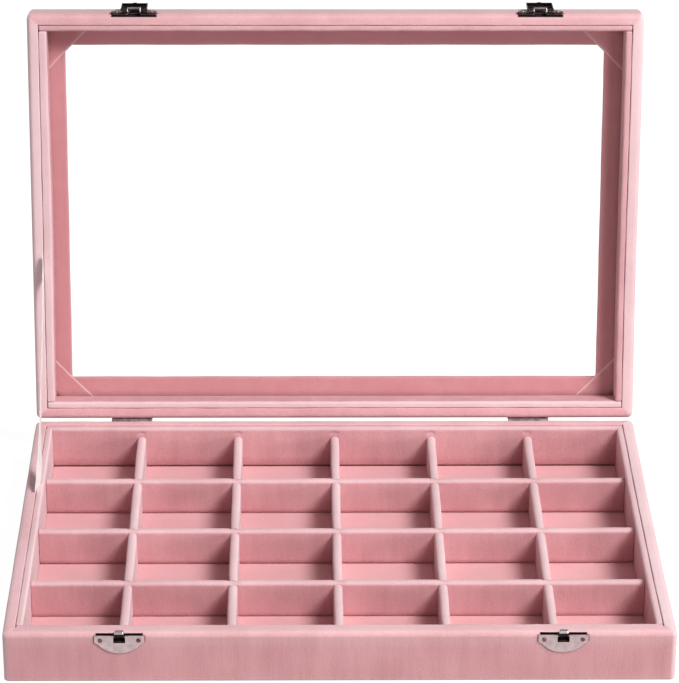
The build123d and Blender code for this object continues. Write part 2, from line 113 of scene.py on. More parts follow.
def build(name, verts, faces, material, body, slot=None, lid=False, replaces=(), recalc=True, flat_over=None, nap=None, deep=None):
    v = bowed_sides(verts, lid) if body in ("tray", "lid") else np.asarray(verts, float)
    v = opened(v) if lid else v
    me = bpy.data.meshes.new(name)
    me.from_pydata([tuple(p) for p in v * 0.001], [], [tuple(int(i) for i in f) for f in faces])
    me.update()
    if recalc:
        bm = bmesh.new()
        bm.from_mesh(me)
        bmesh.ops.recalc_face_normals(bm, faces=bm.faces)
        bm.to_mesh(me)
        bm.free()
    for p in me.polygons:
        p.use_smooth = True
    if flat_over is not None:
        me.set_sharp_from_angle(angle=math.radians(flat_over))
    for key, value in (("nap", nap), ("deep", deep)):
        if value is not None:
            at = me.attributes.new(key, "FLOAT", "POINT")
            at.data.foreach_set("value", np.asarray(value, np.float32).ravel())
    o = bpy.data.objects.new(name, me)
    bpy.context.scene.collection.objects.link(o)
    for m in material if isinstance(material, (list, tuple)) else [material]:
        me.materials.append(m)
    if body:
        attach(o, body)
    if replaces:
        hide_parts(*replaces)
    return o


def loft(rings, close_u=False, caps=True):
    """Quads through a stack of closed rings."""
    rings = np.asarray(rings, float)
    n, m = rings.shape[:2]
    verts = rings.reshape(-1, 3)
    faces = []
    for i in range(n if close_u else n - 1):
        a, b = i * m, ((i + 1) % n) * m
        for j in range(m):
            k = (j + 1) % m
            faces.append((a + j, a + k, b + k, b + j))
    if caps and not close_u:
        faces.append(tuple(range(m)))
        faces.append(tuple((n - 1) * m + j for j in reversed(range(m))))
    return verts, faces


def arc(cx, cy, r, a0, a1, n):
    t = np.radians(np.linspace(a0, a1, n))
    return [(cx + r * math.cos(a), cy + r * math.sin(a)) for a in t]


def spaced(a, b, step, fine=()):
    """Stations from a to b, closer near the fine centres given as (centre, half, step)."""
    pts = set(np.round(np.linspace(a, b, max(2, int(round((b - a) / step)) + 1)), 4))
    for c, half, st in fine:
        lo, hi = max(a, c - half), min(b, c + half)
        if hi <= lo:
            continue
        pts = {p for p in pts if p <= lo or p >= hi}
        pts |= set(np.round(np.linspace(lo, hi, int(round((hi - lo) / st)) + 1), 4))
    pts = sorted(pts)
    out = [pts[0]]
    for p in pts[1:]:
        if p - out[-1] > 0.12:
            out.append(p)
    out[-1] = pts[-1]
    return np.array(out)


# ---------------------------------------------------------------- materials
# paler pile colour: partly pile laid the other way, partly painted sheen and painted key light on rims, tops and
# right-facing faces
PALE_NAP_AND_SHEEN = (0.870, 0.705, 0.725)
# deeper tone of the sunk lip: partly the velvet's own tone, partly painted shade of the recess
DEEP_TONE_AND_SHADE = (0.650, 0.262, 0.292)
# near-black painted shade in the hollows behind the plates
PAINTED_SHADE = (0.020, 0.008, 0.009)


def nt_new(name):
    m = bpy.data.materials.new(name)
    m.use_nodes = True
    nt = m.node_tree
    nt.nodes.clear()
    out = nt.nodes.new("ShaderNodeOutputMaterial")
    p = nt.nodes.new("ShaderNodeBsdfPrincipled")
    nt.links.new(p.outputs[0], out.inputs[0])
    return m, nt, p, out


def coords(nt, scale=(1, 1, 1), rotate=(0, 0, 0)):
    tc = nt.nodes.new("ShaderNodeTexCoord")
    mp = nt.nodes.new("ShaderNodeMapping")
    mp.inputs["Scale"].default_value = scale
    mp.inputs["Rotation"].default_value = rotate
    nt.links.new(tc.outputs["Object"], mp.inputs["Vector"])
    return mp.outputs[0]


def noise(nt, vec, scale, detail=3.0, rough=0.55):
    n = nt.nodes.new("ShaderNodeTexNoise")
    n.inputs["Scale"].default_value = scale
    n.inputs["Detail"].default_value = detail
    n.inputs["Roughness"].default_value = rough
    nt.links.new(vec, n.inputs["Vector"])
    return n.outputs["Fac"]


def maths(nt, op, a, b=None, c=None):
    n = nt.nodes.new("ShaderNodeMath")
    n.operation = op
    for i, x in enumerate((a, b, c)):
        if x is None:
            continue
        if isinstance(x, (int, float)):
            n.inputs[i].default_value = x
        else:
            nt.links.new(x, n.inputs[i])
    return n.outputs[0]


def ramp(nt, fac, stops):
    n = nt.nodes.new("ShaderNodeValToRGB")
    e = n.color_ramp.elements
    while len(e) < len(stops):
        e.new(0.5)
    for el, (pos, col) in zip(e, stops):
        el.position = pos
        el.color = (*col, 1)
    nt.links.new(fac, n.inputs[0])
    return n.outputs[0]


def bump(nt, p, height, strength, distance, after=None):
    b = nt.nodes.new("ShaderNodeBump")
    b.inputs["Strength"].default_value = strength
    b.inputs["Distance"].default_value = distance
    nt.links.new(height, b.inputs["Height"])
    if after is not None:
        nt.links.new(after, b.inputs["Normal"])
    nt.links.new(b.outputs[0], p.inputs["Normal"])
    return b.outputs[0]


def parts_of(nt, lid=False):
    """Object position in millimetres (x, y, z), turned back to the closed lid's axes when lid is set."""
    tc = nt.nodes.new("ShaderNodeTexCoord")
    sp = nt.nodes.new("ShaderNodeSeparateXYZ")
    nt.links.new(tc.outputs["Object"], sp.inputs[0])
    x, y, z = [maths(nt, "MULTIPLY", sp.outputs[i], 1000.0) for i in range(3)]
    if not lid:
        return x, y, z
    c, s_ = math.cos(OPEN), math.sin(OPEN)
    dy, dz = maths(nt, "SUBTRACT", y, HINGE[0]), maths(nt, "SUBTRACT", z, HINGE[1])
    yc = maths(nt, "ADD", maths(nt, "SUBTRACT", maths(nt, "MULTIPLY", dy, c), maths(nt, "MULTIPLY", dz, s_)), HINGE[0])
    zc = maths(nt, "ADD", maths(nt, "ADD", maths(nt, "MULTIPLY", dy, s_), maths(nt, "MULTIPLY", dz, c)), HINGE[1])
    return x, yc, zc


def inside(nt, v, lo, hi, fade=0.12):
    """1 where lo < v < hi."""
    half, mid = (hi - lo) / 2, (hi + lo) / 2
    d = maths(nt, "ABSOLUTE", maths(nt, "SUBTRACT", v, mid))
    n = nt.nodes.new("ShaderNodeMapRange")
    n.inputs["From Min"].default_value = half - fade
    n.inputs["From Max"].default_value = half
    n.inputs["To Min"].default_value = 1.0
    n.inputs["To Max"].default_value = 0.0
    nt.links.new(d, n.inputs["Value"])
    return n.outputs[0]


def from_plate(nt, x):
    """Distance along X from the nearer of the two plate centres."""
    a = maths(nt, "ABSOLUTE", maths(nt, "SUBTRACT", x, PLATES[0]))
    b = maths(nt, "ABSOLUTE", maths(nt, "SUBTRACT", x, PLATES[1]))
    return maths(nt, "MINIMUM", a, b)


def painted_shade_in_hollows(nt, lid):
    """Mask of the hollows behind the plates that are painted near black as shade: the slot beside the straight edge and
    the mortise.
    """
    x, y, z = parts_of(nt, lid)
    d = from_plate(nt, x)
    if lid:
        boxes = [(12.9, (-119.35, -117.9), (MATE - 0.3, MATE + 1.8)), (3.7, (-119.6, -114.5), (MATE + 0.6, PIN_Z + 1.6))]
    else:
        boxes = [(12.4, (-119.35, -117.7), (27.0, 28.75)), (3.4, (-119.6, -114.5), (23.7, 27.7))]
    out = None
    for half, yy, zz in boxes:
        m = maths(nt, "MULTIPLY", inside(nt, d, -half, half), maths(nt, "MULTIPLY", inside(nt, y, *yy), inside(nt, z, *zz)))
        out = m if out is None else maths(nt, "MAXIMUM", out, m)
    return out


def blend_col(nt, fac, a, b):
    """Colour a where fac is 0, b where it is 1; a or b may be a socket or a colour."""
    n = nt.nodes.new("ShaderNodeMix")
    n.data_type = "RGBA"
    nt.links.new(fac, n.inputs[0])
    for sock, v in ((n.inputs[6], a), (n.inputs[7], b)):
        if isinstance(v, tuple):
            sock.default_value = (*v, 1)
        else:
            nt.links.new(v, sock)
    return n.outputs[2]


def velvet(name, dark, mid, light, streak=(1, 1, 1), sheen=0.55, sheen_rough=0.32, tint=(1.0, 0.86, 0.88),
           spec=0.12, contrast=1.0, hollow_shade=None):
    """Short pile: cloudy brushed patches, faint strokes, fine speckle of the tufts, and a sheen at grazing angles."""
    m, nt, p, _ = nt_new(name)
    plain = coords(nt)
    stroke = coords(nt, streak)
    patches = noise(nt, plain, 26, 2.0, 0.5)
    strokes = noise(nt, stroke, 120, 3.0, 0.6)
    tufts = noise(nt, plain, 1150, 2.0, 0.7)
    a = maths(nt, "MULTIPLY", maths(nt, "SUBTRACT", patches, 0.5), 0.95 * contrast)
    b = maths(nt, "MULTIPLY", maths(nt, "SUBTRACT", strokes, 0.5), 0.70 * contrast)
    c = maths(nt, "MULTIPLY", maths(nt, "SUBTRACT", tufts, 0.5), 1.00 * contrast)
    fac = maths(nt, "ADD", maths(nt, "ADD", a, b), maths(nt, "ADD", c, 0.5))
    col = ramp(nt, fac, [(0.0, dark), (0.5, mid), (1.0, light)])
    # pile laid the other way on rims and tops looks paler; the same paler colour also stands in for sheen and key light
    # (painted light)
    at = nt.nodes.new("ShaderNodeAttribute")
    at.attribute_name = "nap"
    patchy_nap_and_sheen = maths(nt, "MULTIPLY", at.outputs["Fac"], maths(nt, "MULTIPLY_ADD", patches, 0.5, 0.75))
    # and the sunk lip round the window is painted deeper in tone, partly its own tone and partly painted shade of the
    # recess
    sunk = nt.nodes.new("ShaderNodeAttribute")
    sunk.attribute_name = "deep"
    sunk_tone_and_painted_shade = maths(nt, "MULTIPLY", sunk.outputs["Fac"], maths(nt, "MULTIPLY_ADD", strokes, -0.5, 1.10))
    col = blend_col(nt, sunk_tone_and_painted_shade, col, DEEP_TONE_AND_SHADE)
    col = blend_col(nt, patchy_nap_and_sheen, col, PALE_NAP_AND_SHEEN)
    # the hollows behind the plates are painted near black: painted shade
    if hollow_shade is not None:
        col = blend_col(nt, painted_shade_in_hollows(nt, hollow_shade == "lid"), col, PAINTED_SHADE)
    nt.links.new(col, p.inputs["Base Color"])
    p.inputs["Roughness"].default_value = 0.92
    p.inputs["Specular IOR Level"].default_value = spec
    p.inputs["Sheen Weight"].default_value = sheen
    p.inputs["Sheen Roughness"].default_value = sheen_rough
    p.inputs["Sheen Tint"].default_value = (*tint, 1)
    pile = noise(nt, plain, 1500, 2.0, 0.6)
    nap = noise(nt, stroke, 260, 3.0, 0.6)
    first = bump(nt, p, nap, 0.35, 0.0006)
    bump(nt, p, pile, 0.55, 0.00035, first)
    return m


velvet_v = velvet("velvet_outside", (0.580, 0.262, 0.282), (0.705, 0.345, 0.365), (0.805, 0.435, 0.455), streak=(1.0, 1.0, 0.16), hollow_shade="tray")
velvet_lid = velvet("velvet_lid", (0.580, 0.262, 0.282), (0.705, 0.345, 0.365), (0.805, 0.435, 0.455), streak=(1.0, 0.22, 1.0), hollow_shade="lid")
velvet_in = velvet("velvet_lining", (0.540, 0.262, 0.284), (0.665, 0.346, 0.368), (0.770, 0.432, 0.452), streak=(1.0, 1.0, 0.20))
velvet_floor = velvet("velvet_floor", (0.640, 0.335, 0.355), (0.735, 0.405, 0.425), (0.820, 0.475, 0.495), streak=(0.15, 1.0, 1.0), contrast=0.7)


def felt(name):
    m, nt, p, _ = nt_new(name)
    v = coords(nt)
    fac = maths(nt, "ADD", maths(nt, "MULTIPLY", noise(nt, v, 900, 4, 0.7), 0.7), maths(nt, "MULTIPLY", noise(nt, v, 60, 2), 0.3))
    nt.links.new(ramp(nt, fac, [(0.3, (0.30, 0.115, 0.13)), (0.7, (0.50, 0.23, 0.25))]), p.inputs["Base Color"])
    p.inputs["Roughness"].default_value = 0.97
    p.inputs["Specular IOR Level"].default_value = 0.1
    p.inputs["Sheen Weight"].default_value = 0.25
    bump(nt, p, noise(nt, v, 1300, 4, 0.75), 0.8, 0.0004)
    return m


def fibre(name, hollow_shade=None):
    m, nt, p, _ = nt_new(name)
    v = coords(nt)
    fac = noise(nt, v, 700, 5, 0.7)
    col = ramp(nt, fac, [(0.3, (0.26, 0.16, 0.09)), (0.7, (0.42, 0.29, 0.18))])
    # the board's hollows behind the plates are painted near black: painted shade
    if hollow_shade is not None:
        col = blend_col(nt, painted_shade_in_hollows(nt, hollow_shade == "lid"), col, PAINTED_SHADE)
    nt.links.new(col, p.inputs["Base Color"])
    p.inputs["Roughness"].default_value = 0.85
    bump(nt, p, noise(nt, v, 1600, 4, 0.7), 0.4, 0.0003)
    return m


def strike_painted_dark_reflection_and_shade(nt):
    """The hook's front and the punched edges of its opening are painted dark: a painted dark reflection on the hook's
    front and painted shade under it.
    """
    x, y, z = parts_of(nt)
    d = from_plate(nt, x)
    front = maths(nt, "MULTIPLY", inside(nt, y, -123.5, -121.25), inside(nt, z, 26.0, 30.35, 0.4))
    under = maths(nt, "MULTIPLY", inside(nt, y, -121.6, -119.0), inside(nt, z, 27.35, 30.0, 0.3))
    return maths(nt, "MULTIPLY", inside(nt, d, -2.9, 2.9, 0.1), maths(nt, "MAXIMUM", front, under))


def latch_painted_dark_reflection_and_shade(nt):
    """The rolled straight edge, the mouth inside the stirrup and the wings round the nails are painted dark: painted
    dark reflection on the edge and wings, painted shade in the mouth, with light spots and bands left as painted
    glints.
    """
    x, y, z = parts_of(nt, True)
    d = from_plate(nt, x)
    edge = inside(nt, z, MATE, MATE + 1.25, 0.3)
    mouth = maths(nt, "MULTIPLY", inside(nt, d, -3.1, 3.1, 0.1), inside(nt, y, -122.25, -118.0, 0.15))
    spots = noise(nt, coords(nt, (1.0, 0.2, 0.2)), 260, 2.0, 0.6)
    painted_glint_gaps = maths(nt, "GREATER_THAN", maths(nt, "MULTIPLY_ADD", inside(nt, d, 8.3, 11.6, 0.5), 0.16, spots), 0.62)
    rolled = maths(nt, "MULTIPLY", edge, maths(nt, "SUBTRACT", 1.0, maths(nt, "MULTIPLY", painted_glint_gaps, 0.9)))
    beyond = maths(nt, "SUBTRACT", 1.0, inside(nt, d, -4.3, 4.3, 0.2))
    # a band round the nails is left light: a painted highlight
    glint = maths(nt, "MULTIPLY", inside(nt, d, 8.4, 10.9, 0.5), inside(nt, z, MATE + 1.0, MATE + 4.6, 0.5))
    wings = maths(nt, "MULTIPLY", maths(nt, "MULTIPLY", beyond, maths(nt, "SUBTRACT", 1.0, glint)), 0.86)
    return maths(nt, "MAXIMUM", maths(nt, "MAXIMUM", rolled, mouth), wings)


def hook_top_painted_highlight(nt):
    """The hook's rounded upper edge is painted bright: a painted highlight."""
    x, y, z = parts_of(nt)
    return maths(nt, "MULTIPLY", inside(nt, from_plate(nt, x), -2.9, 2.9, 0.1), inside(nt, z, 30.1, 32.5, 0.25))


def metal(name, light, dark, rough, brushed=(1, 1, 1), amount=0.12, painted_dark=None, painted_highlight=None):
    m, nt, p, _ = nt_new(name)
    v = coords(nt)
    b = coords(nt, brushed)
    grime = noise(nt, v, 330, 4, 0.65)
    col = ramp(nt, grime, [(0.30, dark), (0.62, light)])
    if painted_dark is not None:
        # near black where the mask is set: painted dark reflection and painted shade
        col = blend_col(nt, painted_dark(nt), col, (0.022, 0.015, 0.015))
    if painted_highlight is not None:
        # near white where the mask is set: painted highlight
        col = blend_col(nt, painted_highlight(nt), col, (0.97, 0.86, 0.87))
    nt.links.new(col, p.inputs["Base Color"])
    p.inputs["Metallic"].default_value = 1.0
    r = maths(nt, "MULTIPLY_ADD", noise(nt, b, 1400, 3, 0.6), amount, rough - amount / 2)
    nt.links.new(r, p.inputs["Roughness"])
    bump(nt, p, noise(nt, b, 1800, 3, 0.6), 0.10, 0.0001)
    return m


nickel = metal("bright_nickel", (0.56, 0.47, 0.475), (0.40, 0.32, 0.325), 0.30)
strike_nickel = metal("strike_nickel", (0.52, 0.405, 0.41), (0.38, 0.29, 0.295), 0.30, painted_dark=strike_painted_dark_reflection_and_shade, painted_highlight=hook_top_painted_highlight)
latch_nickel = metal("latch_nickel", (0.80, 0.73, 0.73), (0.50, 0.43, 0.435), 0.24, painted_dark=latch_painted_dark_reflection_and_shade)
# strike nails coloured dark red-brown, standing in for shade in the holes round their heads: painted shade
nail_painted_shade_m = metal("nail_steel", (0.22, 0.10, 0.10), (0.08, 0.03, 0.03), 0.35)
# near-black nickel for the levers and pins, standing in for dark surroundings reflected in them: painted dark
# reflection
dark_nickel = metal("dark_nickel", (0.115, 0.088, 0.086), (0.040, 0.028, 0.028), 0.30)
steel = metal("hinge_steel", (0.66, 0.60, 0.605), (0.20, 0.16, 0.165), 0.30, brushed=(1, 0.1, 0.1))


def satin(name):
    m, nt, p, _ = nt_new(name)
    v = coords(nt, (1, 0.12, 0.12))
    g = coords(nt)
    fac = maths(nt, "ADD", maths(nt, "MULTIPLY", noise(nt, v, 900, 3), 0.5), maths(nt, "MULTIPLY", noise(nt, g, 90, 2), 0.5))
    nt.links.new(ramp(nt, fac, [(0.3, (0.82, 0.82, 0.805)), (0.7, (0.92, 0.92, 0.905))]), p.inputs["Base Color"])
    p.inputs["Roughness"].default_value = 0.38
    p.inputs["Specular IOR Level"].default_value = 0.5
    p.inputs["Sheen Weight"].default_value = 0.3
    bump(nt, p, noise(nt, v, 1800, 2), 0.35, 0.0002)
    return m


satin_w = satin("satin_ribbon")


def glass(name):
    """Thin clear pane: light goes straight through, with a faint mirror that grows at grazing angles."""
    m = bpy.data.materials.new(name)
    m.use_nodes = True
    nt = m.node_tree
    nt.nodes.clear()
    out = nt.nodes.new("ShaderNodeOutputMaterial")
    mix = nt.nodes.new("ShaderNodeMixShader")
    tr = nt.nodes.new("ShaderNodeBsdfTransparent")
    gl = nt.nodes.new("ShaderNodeBsdfGlossy")
    lw = nt.nodes.new("ShaderNodeLayerWeight")
    tr.inputs["Color"].default_value = (0.985, 0.995, 0.99, 1)
    lw.inputs["Blend"].default_value = 0.5
    # Schlick's curve of the facing angle, alike from both sides of the pane
    graze = maths(nt, "POWER", lw.outputs["Facing"], 5.0)
    mirror = maths(nt, "MULTIPLY_ADD", graze, 0.35, 0.004)
    gl.inputs["Color"].default_value = (1, 1, 1, 1)
    v = coords(nt)
    r = maths(nt, "MULTIPLY_ADD", noise(nt, v, 14, 2), 0.03, 0.005)
    nt.links.new(r, gl.inputs["Roughness"])
    nt.links.new(mirror, mix.inputs[0])
    nt.links.new(tr.outputs[0], mix.inputs[1])
    nt.links.new(gl.outputs[0], mix.inputs[2])
    nt.links.new(mix.outputs[0], out.inputs[0])
    return m


glass_m = glass("clear_pane")
felt_m = felt("felt_underside")
fibre_m = fibre("fibreboard")
fibre_tray = fibre("fibreboard_tray_front", "tray")
fibre_lid = fibre("fibreboard_lid_front", "lid")


def repaint(o, mat):
    o.data.materials.clear()
    o.data.materials.append(mat)


for n, o in nodes.items():
    if n.startswith("strike_plate"):
        repaint(o, nail_painted_shade_m if "nails" in n else strike_nickel)
    elif n == "latch_plate_nails":
        repaint(o, nickel)
    elif n.startswith("latch_plate"):
        repaint(o, latch_nickel)
    elif n.startswith("latch_"):
        repaint(o, dark_nickel)
    elif n == "tray_front_board":
        repaint(o, fibre_tray)
    elif n == "lid_front_rail":
        repaint(o, fibre_lid)
    elif n.startswith("hinge_"):
        repaint(o, steel)
    elif n == "lid_glass":
        repaint(o, glass_m)
    else:
        repaint(o, fibre_m)

# ---------------------------------------------------------------- wrapped rims
def boundary(inset, radius, xs, ys, n):
    """Points round a rounded rectangle that is inset from the outside; xs, ys are station fractions of each side (-1..1)."""
    ax, ay = HX - inset, HY - inset
    sx, sy = ax - radius, ay - radius
    pts = []
    corner = lambda cx, cy, a0: [(cx + radius * math.cos(math.radians(a)), cy + radius * math.sin(math.radians(a)))
                                 for a in np.linspace(a0, a0 + 90, n)[1:-1]]
    pts += [(t * sx, -ay) for t in xs]
    pts += corner(sx, -sy, -90)
    pts += [(ax, t * sy) for t in ys]
    pts += corner(sx, sy, 0)
    pts += [(-t * sx, ay) for t in xs]
    pts += corner(-sx, sy, 90)
    pts += [(-ax, -t * sy) for t in ys]
    pts += corner(-sx, -sy, 180)
    return np.array(pts)


CN = 11                                                  # stations on a corner, middle one on the mitre


def ring_wrap(profile, knots, xs, ys, shape):
    """Sweeps profile (inset, height, tag) round the box. knots are (inset, corner radius)."""
    bounds = [boundary(i, r, xs, ys, CN) for i, r in knots]
    ins = [k[0] for k in knots]
    d = np.array([p[0] for p in profile])
    z = np.array([p[1] for p in profile])
    count = len(bounds[0])
    # angle from the mitre, in stations
    nx, ny, nc = len(xs), len(ys), CN - 2
    mitre = np.full(count, 99.0)
    at = 0
    for side in (nx, ny, nx, ny):
        at += side
        for k in range(nc):
            mitre[at + k] = k - (nc - 1) / 2
        at += nc
    P = np.zeros((count, len(profile), 3))
    for j in range(len(profile)):
        k = int(np.clip(np.searchsorted(ins, d[j]) - 1, 0, len(ins) - 2))
        f = (d[j] - ins[k]) / (ins[k + 1] - ins[k])
        xy = bounds[k] * (1 - f) + bounds[k + 1] * f
        P[:, j, 0], P[:, j, 1] = xy[:, 0], xy[:, 1]
        P[:, j, 2] = z[j]
    shape(P, profile, mitre)
    return P


def along(P):
    """Distance round the box of each station, for uneven wander."""
    q = P[:, 0, :2]
    return np.concatenate([[0], np.cumsum(np.linalg.norm(np.diff(q, axis=0), axis=1))])


def mitre_fold(P, mitre, rows, depth, sign):
    """Fold of the turned fabric on the corner's diagonal: a crease with a low ridge beside it."""
    for i, m in enumerate(mitre):
        if abs(m) > 4:
            continue
        prof = {0: -1.0, 1: 0.42, 2: 0.12, -1: -0.20, -2: 0.34, -3: 0.12}.get(int(m), 0.0)
        for j, w in rows:
            P[i, j, 2] += sign * depth * prof * w


def rim_nap_and_painted_light(P, prof, lid, sides):
    """How pale the turned-over rim is painted, partly for pile laid the other way and partly as painted sheen and key
    light, so the sides differ: sides are (front, right, back, left).
    """
    x, y = P[:, :, 0], P[:, :, 1]
    dx, dy = HX - np.abs(x), HY - np.abs(y)
    on_side = smooth(dy - dx, -1.5, 1.5)
    lr = np.where(x > 0, sides[1], sides[3])
    fb = np.where(y > 0, sides[2], sides[0])
    level = on_side * lr + (1 - on_side) * fb
    w = np.zeros(P.shape[:2])
    for j, (d, z, tag) in enumerate(prof):
        h = (z if lid else RIM - z)              # distance from the rim's plane
        if tag in ("r", "t"):
            w[:, j] = 0.50 * (1 - smooth(h, 1.5, 12.0)) + 0.50 * (1 - smooth(h, 0.05, 0.9))
        elif tag == "i":
            w[:, j] = 0.5 * (1 - smooth(h, 1.0, 3.0))
        elif tag in ("o", "c"):
            w[:, j] = np.maximum(0.06, 0.50 * (1 - smooth(h, 1.5, 12.0)))
    w = w * level
    # the lid's front edge is painted pale too: painted sheen
    if lid:
        front = (1 - on_side) * smooth(-y, 60, 110)
        for j, (d, z, tag) in enumerate(prof):
            if tag in ("o", "r") or (tag == "c" and d < 2):
                w[:, j] = np.maximum(w[:, j], 0.50 * front[:, j] * smooth(z - 0.6, 0.0, 2.0))
    # the two end faces, the upright corners and the tray's bottom edge are painted pale: painted sheen
    for j, (d, z, tag) in enumerate(prof):
        if tag in ("o", "r"):
            w[:, j] = np.maximum(w[:, j], 0.66 * (1 - smooth(dx[:, j], 0.8, 3.6)))
            if not lid:
                w[:, j] = np.maximum(w[:, j], 0.40 * (1 - smooth(z, 0.4, 2.2)))
    return w


def cut_from(o, boxes, prisms=()):
    """Boolean cut of boxes (lo, hi) and closed prisms (points in XZ, y0, y1) in the piece's drawn axes."""
    cv, cf = [], []
    for lo, hi in boxes:
        k = len(cv)
        cv += [(x, y, z) for x in (lo[0], hi[0]) for y in (lo[1], hi[1]) for z in (lo[2], hi[2])]
        cf += [tuple(k + q for q in face) for face in ((0, 1, 3, 2), (4, 6, 7, 5), (0, 4, 5, 1), (2, 3, 7, 6), (0, 2, 6, 4), (1, 5, 7, 3))]
    for pts, y0, y1 in prisms:
        k, n = len(cv), len(pts)
        cv += [(x, y0, z) for x, z in pts] + [(x, y1, z) for x, z in pts]
        cf += [tuple(range(k, k + n)), tuple(reversed(range(k + n, k + 2 * n)))]
        cf += [(k + i, k + n + i, k + n + (i + 1) % n, k + (i + 1) % n) for i in range(n)]
    lid = o.name.startswith("lid")
    cut = build(o.name + "_cut", opened(cv) if lid else cv, cf, velvet_v, None)
    mod = o.modifiers.new("cut", "BOOLEAN")
    mod.operation, mod.solver, mod.object = "DIFFERENCE", "EXACT", cut
    mod.use_self = True
    dg = bpy.context.evaluated_depsgraph_get()
    me = bpy.data.meshes.new_from_object(o.evaluated_get(dg))
    o.modifiers.clear()
    o.data = me
    bpy.data.objects.remove(cut)
    for p in me.polygons:
        p.use_smooth = True
    me.set_sharp_from_angle(angle=math.radians(50))


def moon(cx, w, straight, side, shoulder, low, grow):
    """Outline of a plate in XZ, grown all round except past its straight edge."""
    a, b = w / 2 + grow, w / 2 - 2.15 + grow * 0.8
    sgn = -1 if low < straight else 1
    far, sh = low + sgn * grow, shoulder + sgn * grow * 0.6
    h = abs(far - sh)
    r = (b * b + h * h) / (2 * h)
    cz = far - sgn * r
    t = math.asin(b / r)
    pts = [(cx - a, straight), (cx - a, side)]
    pts += [(cx + r * math.sin(q), cz + sgn * r * math.cos(q)) for q in np.linspace(-t, t, 25)]
    pts += [(cx + a, side), (cx + a, straight)]
    return pts


def tray_profile():
    a = [(0.55, 0.32, "o"), (0.18, 0.42, "o"), (0.0, 0.8, "o")]
    for z in (1.6, 3.0, 5.0, 7.5, 10.0, 12.5, 15.0, 17.5, 20.0, 22.0, 23.5, 24.6, 25.4, 25.9):
        a.append((0.0, z, "o"))
    a += [(x, y, "r") for x, y in arc(2.75, 26.42, 2.75, 180, 90, 13)]
    a += [(3.3, 29.2, "t"), (3.9, 29.21, "t"), (4.5, 29.2, "t"), (5.1, 29.17, "t")]
    a += [(x, y, "t") for x, y in arc(5.92, 28.66, 0.5, 84, 10, 6)]
    a += [(6.42, 27.6, "i"), (6.46, 25.0, "i"), (6.5, 21.0, "i"), (6.5, 17.0, "i"), (6.5, 14.0, "i")]
    b = [(5.8, 14.0, "b"), (5.8, 21.0, "b"), (5.8, 27.4, "b"), (5.45, 28.1, "b"), (4.6, 28.38, "b"), (2.9, 28.38, "b")]
    b += [(x, y, "b") for x, y in arc(2.65, 26.52, 1.82, 100, 180, 5)]
    b += [(0.83, 20.0, "b"), (0.83, 10.0, "b"), (0.83, 1.2, "b"), (0.83, 0.34, "b")]
    return a + b


def tray_shape(P, prof, mitre):
    s = along(P)
    w1, w2, w3 = wob(s, 1.0), wob(s, 2.0), wob(s, 3.0, ((61.0, 1.0), (19.0, 0.4)))
    x, y = P[:, :, 0].copy(), P[:, :, 1].copy()
    for j, (d, z, tag) in enumerate(prof):
        if tag == "b":
            continue
        lift = smooth(z, 27.0, 29.2)
        P[:, j, 2] += 0.10 * w1 * lift
        if tag in ("t", "i"):
            # the inner edge of the rim wanders a little
            push = 0.09 * w2 * smooth(d, 4.0, 6.3)
            P[:, j, 0] -= push * np.sign(x[:, j]) * (np.abs(x[:, j]) > HX - 7)
            P[:, j, 1] -= push * np.sign(y[:, j]) * (np.abs(y[:, j]) > HY - 7)
        if tag in ("o", "r") and z > 1:
            out = 0.07 * w3 * smooth(z, 0.8, 6.0) * (1 - smooth(z, 26, 29))
            P[:, j, 0] += out * np.sign(x[:, j]) * (np.abs(x[:, j]) > HX - 0.5)
            P[:, j, 1] += out * np.sign(y[:, j]) * (np.abs(y[:, j]) > HY - 0.5) * 0.5
    rows = [(j, 1.0) for j, (d, z, t) in enumerate(prof) if t in ("r", "t") and z > 28.0]
    rows += [(j, 0.4) for j, (d, z, t) in enumerate(prof) if t == "r" and 27.2 < z <= 28.0]
    mitre_fold(P, mitre, rows, 0.15, 1)


fine_x = [(cx, 14.0, 0.8) for cx in PLATES]
xs = spaced(-172.0, 172.0, 4.0, fine_x) / 172.0
ys = spaced(-117.0, 117.0, 4.0) / 117.0
P = ring_wrap(tray_profile(), [(0.0, 3.0), (WALL, 0.35)], xs, ys, tray_shape)
v, f = loft(P, close_u=True)
tray_velvet = build("tray_velvet", v, f, velvet_v, "tray", "velvet", replaces=["tray_velvet_wrap"],
                    nap=rim_nap_and_painted_light(P, tray_profile(), False, (0.38, 0.72, 0.28, 0.40)))
cut_from(tray_velvet, [((cx - 3.1, -121.0, 24.0), (cx + 3.1, -117.0, 27.4)) for cx in PLATES]
         + [((cx - 12.1, -121.0, 27.45), (cx + 12.1, -118.0, 28.5)) for cx in PLATES],
         [(moon(cx, 26.0, 27.9, 24.1, 22.5, 17.6, 0.42), -121.0, -119.5) for cx in PLATES])


